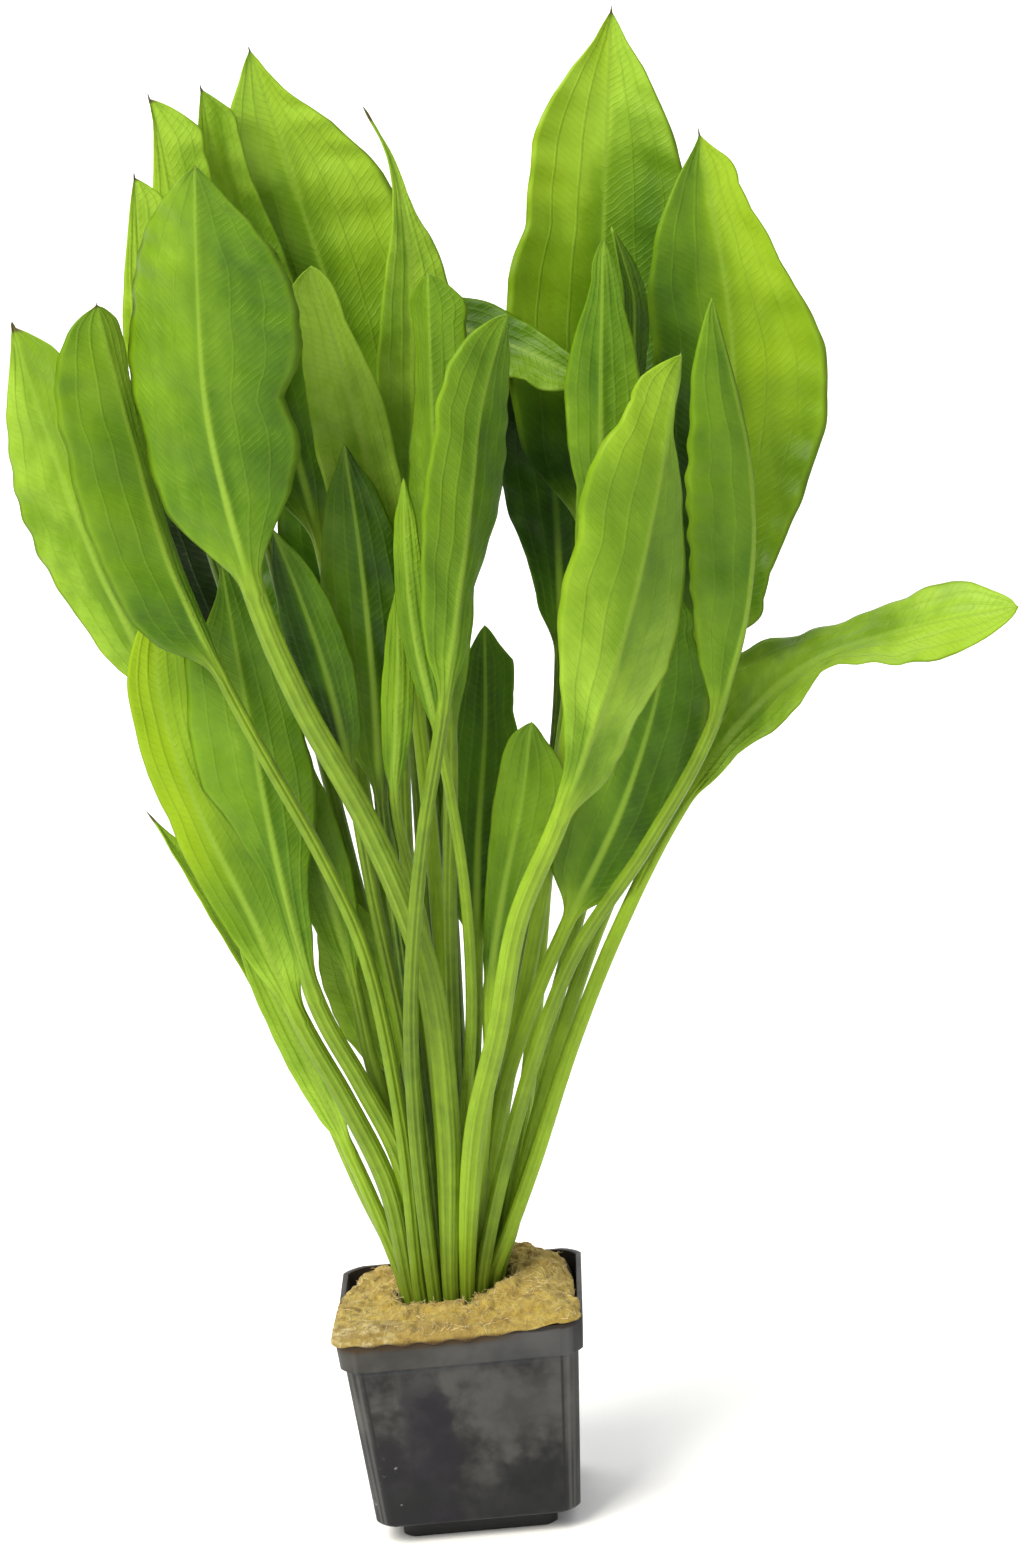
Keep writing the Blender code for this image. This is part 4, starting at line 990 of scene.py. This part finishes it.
def smooth_route(points):
    """Many points along a smooth curve through a few (centripetal Catmull-Rom)."""
    ends = [2 * points[0] - points[1], *points, 2 * points[-1] - points[-2]]
    route = []
    for a, b, c, d in zip(ends, ends[1:], ends[2:], ends[3:]):
        t1 = (b - a).length ** 0.5
        t2 = t1 + (c - b).length ** 0.5
        t3 = t2 + (d - c).length ** 0.5
        for i in range(SPAN_STEPS):
            t = t1 + (t2 - t1) * i / SPAN_STEPS
            ab = a.lerp(b, t / t1)
            bc = b.lerp(c, (t - t1) / (t2 - t1))
            cd = c.lerp(d, (t - t2) / (t3 - t2))
            first = ab.lerp(bc, t / t2)
            second = bc.lerp(cd, (t - t1) / (t3 - t1))
            route.append(first.lerp(second, (t - t1) / (t2 - t1)))
    route.append(points[-1])
    return route


def smooth_step(x):
    """0 up to 0, 1 from 1, and smooth between."""
    x = np.clip(x, 0.0, 1.0)
    return x * x * (3 - 2 * x)


def root_of(ring, place):
    """A place on the crown's top, counted from the front toward the right."""
    radius, count = ROOT_RINGS[ring]
    angle = 2 * math.pi * (place + (0.5 if ring == 2 else 0.0)) / count
    return Vector((radius * math.sin(angle), -radius * math.cos(angle), ROOT_HEIGHT))


def unit(vectors):
    """Each row at the length of 1."""
    return vectors / np.linalg.norm(vectors, axis=1, keepdims=True)


def leaf_line(leaf, spike):
    """The leaf's middle line from the crown to the end of its dry point, how far along it each of its
    points is, its length up to the tip, and the share of that at which the blade starts."""
    root = root_of(*leaf["root"])
    neck = Vector((root.x * NECK_SPREAD, root.y * NECK_SPREAD, NECK_HEIGHT))
    for point in (root, neck):
        point.x += CROWN_OFFSET
    stalk = [root, neck] + [seen(*p) for p in leaf["stalk"]]
    line = np.array(smooth_route(stalk + [seen(*p) for p in leaf["blade"]]))
    steps = np.linalg.norm(np.diff(line, axis=0), axis=1)
    run = np.concatenate([[0.0], np.cumsum(steps)])
    whole = run[-1]
    end = line[-1] + unit((line[-1] - line[-4])[None])[0] * spike
    return np.vstack([line, end]), np.append(run, whole + spike), whole, run[SPAN_STEPS * len(stalk)] / whole


def blade_frame(leaf, line, run, at, u):
    """The leaf's middle at each point, and the ways that its face and its right side look there."""
    centre = np.stack([np.interp(at, run, line[:, k]) for k in range(3)], axis=1)
    ahead = np.gradient(line, run, axis=0)
    ahead = unit(np.stack([np.interp(at, run, ahead[:, k]) for k in range(3)], axis=1))
    looks = zip(leaf.get("face", (0, 0, 0)), leaf.get("tilt", (0, 0, 0)))
    first, middle, last = (np.array(toward(*pair)) for pair in looks)
    near = smooth_step(2 * u)[:, None]
    far = smooth_step(2 * u - 1)[:, None]
    out = np.where((u < 0.5)[:, None], first + (middle - first) * near, middle + (last - middle) * far)
    out = unit(out - ahead * np.sum(ahead * out, axis=1, keepdims=True))
    return centre, out, unit(np.cross(ahead, out))


def blade_outline(leaf, u, flat_x):
    """Half the blade's width: a lance, changed where the real edge leaves it, and a little uneven."""
    widest = leaf.get("widest", BLADE_WIDEST)
    inside = np.clip(u, 1e-6, 1 - 1e-6)
    lance = (inside / widest) ** widest * ((1 - inside) / (1 - widest)) ** (1 - widest)
    sharp = np.where(inside < widest, BLADE_POINT, leaf.get("point", BLADE_POINT))
    half = np.where(u > 0, 0.5 * leaf["width"] * lance**sharp, 0.0)
    if "edge" in leaf:
        places, left, right = np.array(leaf["edge"]).T / 100
        half = half * np.where(flat_x < 0, np.interp(u, places, left), np.interp(u, places, right))
    else:
        half = half * (1 - 0.3 * smooth_step((u - 0.86) / 0.12))
    ragged = 1 + 0.015 * np.sin(23 * u + 5 * flat_x + leaf["width"])
    return half * (ragged + 0.010 * np.sin(51 * u + 2 * leaf["fold"]))


def blade_lift(leaf, u, flat_x, half, length, keel):
    """How far the sheet's middle stands toward the viewer: it is folded, waved, rippled and quilted."""
    reach = np.abs(flat_x)
    broad = np.clip(half / 12, 0, 1)
    fold = math.radians(leaf["fold"])
    bend = 0.5 * (np.sqrt(flat_x**2 + 0.004) - 0.063) + 0.55 * flat_x**2
    wave = leaf["wave"] * flat_x**2 * np.sin(2 * math.pi * WAVES * u + np.where(flat_x > 0, WAVE_SHIFT, 0.0))
    drift = 1.6 * np.sin(4 * u + leaf["width"]) + 2.5 * flat_x
    crimp = RIPPLE * broad * reach**1.5 * (0.6 + 0.4 * np.sin(7 * u + 2 * leaf["width"]))
    ripple = crimp * np.sin(2 * math.pi * u * length / RIPPLE_LENGTH + drift)
    shift = 3 * flat_x + leaf["width"]
    swell = SWELL * broad * np.sin(math.pi * reach) * np.sin(2 * math.pi * u * length / SWELL_LENGTH + shift)
    quilt = QUILT * np.clip(half / 8, 0, 1) * np.cos(2 * math.pi * reach / VEINS[0]) * (1 - reach)
    groove = -GROOVE * keel * (1 if leaf["fold"] > 0 else -0.6)
    roll_side, roll = leaf.get("roll", (1, 0.0))
    rolled = np.clip((flat_x * roll_side - 0.55) / 0.45, 0.0, 1.0) ** 2 * roll
    rolled = rolled * smooth_step(3 * u) * smooth_step(3 - 3 * u)
    return bend * half * math.sin(fold) + wave + ripple + swell + quilt + groove + rolled


def grow_leaf(name, leaf):
    """A fine grid is rolled up round the leaf's section and drawn along its line: across the grid is round
    the leaf, and up the grid is along it."""
    piece, around, up = lay_grid(name + "_blade", AROUND, ALONG)
    spike = DRY_POINT * min(1.0, leaf["dry"])
    line, run, whole, blade_start = leaf_line(leaf, spike)
    # rows are closer together on the blade and closest at its tip
    late = blade_start + 0.93 * (1 - blade_start)
    at = whole * np.interp(up, [0.0, 0.27, 0.9, 1.0], [0.0, blade_start, late, 1 + spike / whole])
    share = np.clip(at / whole, 0.0, 1.0)
    u = (share - blade_start) / (1 - blade_start)
    flat = smooth_step(u / SHOULDER)
    centre, out, side = blade_frame(leaf, line, run, at, u)
    # round the section: 0 is behind the midrib, a quarter is the right edge and a half the midrib's front
    turn = 2 * math.pi * around
    round_x, round_y = np.sin(turn), -np.cos(turn)
    saw = 1 - np.abs(1 - 2 * (around * 2 % 1))
    flat_x = np.sign(round_x) * np.where(np.abs(round_x) < 1e-9, 0.0, saw)
    front = np.where(round_y >= 0, 1.0, -1.0)
    reach = np.abs(flat_x)
    width = leaf.get("stem", STALK_WIDTH) - STALK_BASE_WIDTH
    width = STALK_BASE_WIDTH + smooth_step(share / STALK_SWELL) * width
    stalk_half = 0.5 * width * (1 - STALK_TAPER * share)
    tip = np.clip((whole + spike - at) / (0.5 + spike), 0.0, 1.0)
    half = np.maximum(blade_outline(leaf, u, flat_x), stalk_half * (1 - 0.8 * flat)) * tip**0.6
    # the stalk: faintly ribbed lengthwise, a little hollow on its upper side
    ribs = 1 + 0.016 * np.cos(7 * turn) - 0.07 * np.clip(round_y, 0, 1) ** 8
    stalk_x = round_x * stalk_half * ribs
    stalk_y = round_y * stalk_half * STALK_FLATNESS * ribs
    # the blade: a thin sheet with a keel under its midrib
    keel = np.exp(-((reach * half / (0.9 + 0.5 * (1 - u))) ** 2)) * (1 - 0.6 * np.clip(u, 0, 1))
    edge = np.clip((1 - reach) / 0.08, 0.0, 1.0) ** 0.5
    thick = 0.5 * (BLADE_THICKNESS * edge + (RIB_THICKNESS - BLADE_THICKNESS) * keel)
    thick = thick * np.minimum(1, tip + 0.15)
    lift = blade_lift(leaf, u, flat_x, half, whole, keel)
    x = stalk_x * (1 - flat) + flat_x * half * math.cos(math.radians(leaf["fold"])) * flat
    y = stalk_y * (1 - flat) + (lift + front * np.where(reach > 0.999, 0.0, thick)) * flat
    places = centre + side * x[:, None] + out * y[:, None]
    places[up > 1 - 1e-6] = line[-1]

    # what the leaf's skin reads: where a point is on the blade, its shape there, and its tone, which holds
    # its
    #     # painted light and shade
    rightness = smooth_step(0.5 + 0.9 * flat_x)
    (left_light, right_light), (left_yellow, right_yellow) = leaf["light"], leaf.get("yellow", (0.0, 0.0))
    light = left_light + (right_light - left_light) * rightness
    light = light + leaf.get("tip", 0.0) * smooth_step((u - 0.45) / 0.5)
    light = light + leaf.get("base", 0.0) * smooth_step(1 - u / 0.45)
    light = light * flat + leaf["stalk_light"] * (1 - flat)
    # the face that the photo doesn't show isn't in the shade of the leaves before it
    away = (np.sum(out * unit(np.array(EYE) - centre), axis=1) * front < 0) & (flat > 0.5)
    light = np.where(away, np.maximum(light, -0.25), light)
    yellow = left_yellow + (right_yellow - left_yellow) * rightness
    dry = np.maximum(0.0, at - whole + (0.6 + 0.9 * leaf["dry"]) * leaf["dry"])
    marks = {
        "leaf_place": (x, u * whole * (1 - blade_start), front),
        "leaf_shape": (np.where(flat > 0.02, flat_x, round_x), u, half),
        "leaf_tone": (light, yellow, dry),
    }
    for mark, columns in marks.items():
        layer = piece.data.attributes.new(mark, "FLOAT_VECTOR", "POINT")
        layer.data.foreach_set("vector", np.stack(columns, axis=1).astype(np.float32).ravel())
    wrap_grid(piece, places, 0.004)
    bpy.ops.object.shade_smooth()
    return piece


def leaf_green():
    """Green with painted light and shade, a yellower margin, a pale midrib, arching side veins, fine cross
    veins, and a soft shine.
    """
    finish = Finish("leaf_skin")

    def mark(name):
        """The three numbers that grow_leaf kept under a name."""
        return finish.parts(finish.node("ShaderNodeAttribute", {"attribute_name": name})[1])

    _, along, front = mark("leaf_place")
    across, u, half = mark("leaf_shape")
    light, yellow, dry = mark("leaf_tone")
    reach = abs(across)
    from_rib = reach * half
    on_blade = finish.ease(u, 0.02, 0.16)
    lit = finish.ease(light, -0.95, -0.1)
    broad = finish.noise(34, detail=2)
    streak = finish.noise(150, detail=3, stretch=(1, 1, 0.16))
    mottle = finish.noise(210, detail=4, roughness=0.6)
    fine = finish.noise(1300, detail=3, roughness=0.6)

    # the midrib, the two veins of each half, the slanting cross veins between them, and the stalk's strands
    midrib = finish.ease(from_rib, 1.3 - 0.85 * finish.ease(u, 0.0, 1.0), 0.2)
    beside = finish.ease(from_rib, 4.5, 0.8) * finish.ease(from_rib, 0.6, 1.4)
    inner, outer = (abs(reach - vein) * half for vein in VEINS)
    veins = finish.ease(inner, 0.42, 0.105) + finish.ease(outer, 0.36, 0.09)
    slant = along * 0.74 - reach * half * 0.62 + (mottle - 0.5) * 1.8 + (broad - 0.5) * 3
    cross = finish.ease((slant * 5.1).sine(), 0.35, 1.0) * finish.ease(reach, 0.98, 0.85) * on_blade
    netted = (veins * 0.14 + cross * mottle * 0.16) * (lit * 0.85 + 0.15) * on_blade
    strand = finish.ease((across * 9 + (broad - 0.5) * 3).sine(), 0.0, 1.0) * (1 - on_blade)
    rib = midrib * on_blade * (0.55 + 0.4 * finish.ease(u, 0.8, 0.2)) * (lit * 0.86 + 0.14)

    # the blade's painted light: from near black where shade is painted to yellow green where light is painted
    uneven = (broad - 0.5) * 0.7 + (streak - 0.5) * 0.45 + (mottle - 0.5) * 0.28
    green = finish.ramp(
        0.50 + light * 0.40 + uneven - beside * 0.06,
        (0.0, (0.004, 0.012, 0.001)),
        (0.24, (0.021, 0.066, 0.001)),
        (0.50, (0.068, 0.165, 0.003)),
        (0.76, (0.148, 0.285, 0.010)),
        (1.0, (0.330, 0.530, 0.042)),
    )
    warm = yellow * (0.5 + 0.9 * finish.ease(broad, 0.35, 0.65))
    warm = warm * finish.ease(u, 0.15, 0.6) * finish.ease(light, -0.7, 0.1)
    warm = finish.node("ShaderNodeClamp", None, {0: warm})[0]
    margin = finish.ease(reach, 0.84, 1.0) * on_blade
    pale = finish.ease(front, 0.5, -0.5) * on_blade
    # the stalk, with its painted light and shade, browner toward its foot with painted shade by the rockwool
    low = finish.ease(finish.parts(finish.place)[2], 0.075, 0.046)
    stalk = finish.coats(
        (0.018, 0.050, 0.001),
        (0.45 + light * 0.5 + (mottle + streak - 1) * 0.5, (0.25, 0.40, 0.018)),
        (strand * 0.14, (0.36, 0.52, 0.05)),
        (low * 0.62, (0.080, 0.100, 0.008)),
    )
    colour = finish.coats(
        green,
        (warm * 0.8, (0.31, 0.47, 0.003)),
        (margin * lit * 0.35, (0.24, 0.40, 0.012)),
        (pale * lit * 0.18, (0.14, 0.25, 0.035)),
        (netted, (0.20, 0.34, 0.025)),
        (1 - on_blade, stalk),
        (rib, (0.25, 0.40, 0.035)),
        (finish.ease(dry + (mottle - 0.5) * 0.8, 0.1, 1.0) * 0.92, (0.10, 0.07, 0.028)),
    )
    rough = 0.37 + (mottle - 0.5) * 0.2 + fine * 0.08 + pale * 0.12
    relief = finish.bump(cross * mottle * 0.7 + veins * 0.8 + fine * 0.2, 0.6, 0.24)
    relief = finish.bump(mottle * 0.6 + streak * 0.4, 0.4, 0.9, relief)
    skin = finish.surface(
        Base_Color=colour,
        Roughness=rough,
        Normal=relief,
        Specular_IOR_Level=0.2,
        Coat_Weight=0.04,
        Coat_Roughness=0.2,
    )
    # light that comes through the blade is yellower
    through = finish.coats(colour, (lit * 0.35, (0.30, 0.50, 0.006)))
    glow = finish.node("ShaderNodeBsdfTranslucent", None, {"Color": through, "Normal": relief})[0]
    return finish.close(finish.node("ShaderNodeMixShader", None, {0: on_blade * 0.24, 1: skin, 2: glow})[0])


leaf_skin = leaf_green()
for name, leaf in LEAVES.items():
    piece = grow_leaf(name, leaf)
    piece.data.materials.append(leaf_skin)
    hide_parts(name)
    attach(piece, "root")


# The plant stands on a pale seamless paper sweep, lit by soft studio lights: a broad one high on the left,
# a weaker one on the right, and white paper all round that fills the shadows. The camera is the photo's.

# In metres: the sweep's size, how far it lies flat, the length of its bend and the bend's radius.
PAPER = 7.0
PAPER_FLAT = 3.0
PAPER_BEND = 1.6
BEND_RADIUS = 1.02
# In pixels: the photo's height, and the focal length that was fitted to the pot's corners.
PHOTO_HEIGHT = 1545
FOCAL_LENGTH = 4631.7
SENSOR = 24.0


def lay_paper():
    """A sheet lies flat under the plant and bends up behind it."""
    let_go()
    bpy.ops.mesh.primitive_grid_add(x_subdivisions=2, y_subdivisions=60, size=1)
    paper = name_piece("paper_sweep")
    for vert in paper.data.vertices:
        run = (vert.co.y + 0.5) * PAPER
        bend = min(max((run - PAPER_FLAT) / PAPER_BEND, 0.0), 1.0) * math.pi / 2
        back = min(run, PAPER_FLAT) - 2.0 + BEND_RADIUS * math.sin(bend)
        up = BEND_RADIUS * (1 - math.cos(bend)) + max(run - PAPER_FLAT - PAPER_BEND, 0.0)
        vert.co = Vector((vert.co.x * PAPER, back, up))
    bpy.ops.object.shade_smooth()
    return paper


def white_paper():
    """White with the faintest grain."""
    finish = Finish("white_paper")
    colour = finish.coats((0.90, 0.90, 0.905), (finish.noise(900, detail=2), (0.93, 0.93, 0.935)))
    return finish.close(finish.surface(Base_Color=colour, Roughness=0.9, Specular_IOR_Level=0.1))


def soft_light(name, place, size, power, aim=(0, 0, 0.16), tint=(1, 1, 1)):
    """A large lamp that looks from its place to what it is aimed at, in metres."""
    lamp = bpy.data.lights.new(name, "AREA")
    lamp.shape = "RECTANGLE"
    lamp.size, lamp.size_y = size
    lamp.energy = power
    lamp.color = tint
    holder = bpy.data.objects.new(name, lamp)
    bpy.context.collection.objects.link(holder)
    holder.location = place
    holder.rotation_euler = (Vector(aim) - Vector(place)).to_track_quat("-Z", "Y").to_euler()


paper = lay_paper()
paper.data.materials.append(white_paper())
soft_light("key_light", (-0.8, -0.9, 1.3), (1.1, 1.1), 46, tint=(1.0, 0.97, 0.86))
soft_light("fill_light", (1.2, -1.0, 0.6), (1.2, 1.2), 4)
soft_light("paper_light", (0.0, 0.9, 1.6), (2.4, 0.6), 34, aim=(0, 2.0, 0.3))
world = bpy.data.worlds.new("studio")
world.use_nodes = True
studio_air = world.node_tree.nodes["Background"]
studio_air.inputs["Color"].default_value = (1.0, 1.0, 1.0, 1.0)
studio_air.inputs["Strength"].default_value = 0.4
bpy.context.scene.world = world
bpy.context.scene.view_settings.view_transform = "Standard"

lens = bpy.data.cameras.new("camera")
lens.sensor_fit = "VERTICAL"
lens.sensor_height = SENSOR
lens.lens = SENSOR / PHOTO_HEIGHT * FOCAL_LENGTH
lens.clip_start, lens.clip_end = 0.05, 30.0
camera = bpy.data.objects.new("camera", lens)
bpy.context.collection.objects.link(camera)
# It stands a metre from the middle of the view, to the right of it and above it, and is rolled a little.
target = Vector((22.75, 0.0, 165.27)) * MM
away = toward(1.46, 11.78)
roll = math.radians(-5.65)
level = away.cross(Vector((0, 0, 1))).normalized() * -1
upright = away.cross(level).normalized()
right = level * math.cos(roll) + upright * math.sin(roll)
top = upright * math.cos(roll) - level * math.sin(roll)
camera.location = target + away
camera.rotation_mode = "QUATERNION"
camera.rotation_quaternion = Matrix((right, top, away)).transposed().to_quaternion()
bpy.context.scene.camera = camera
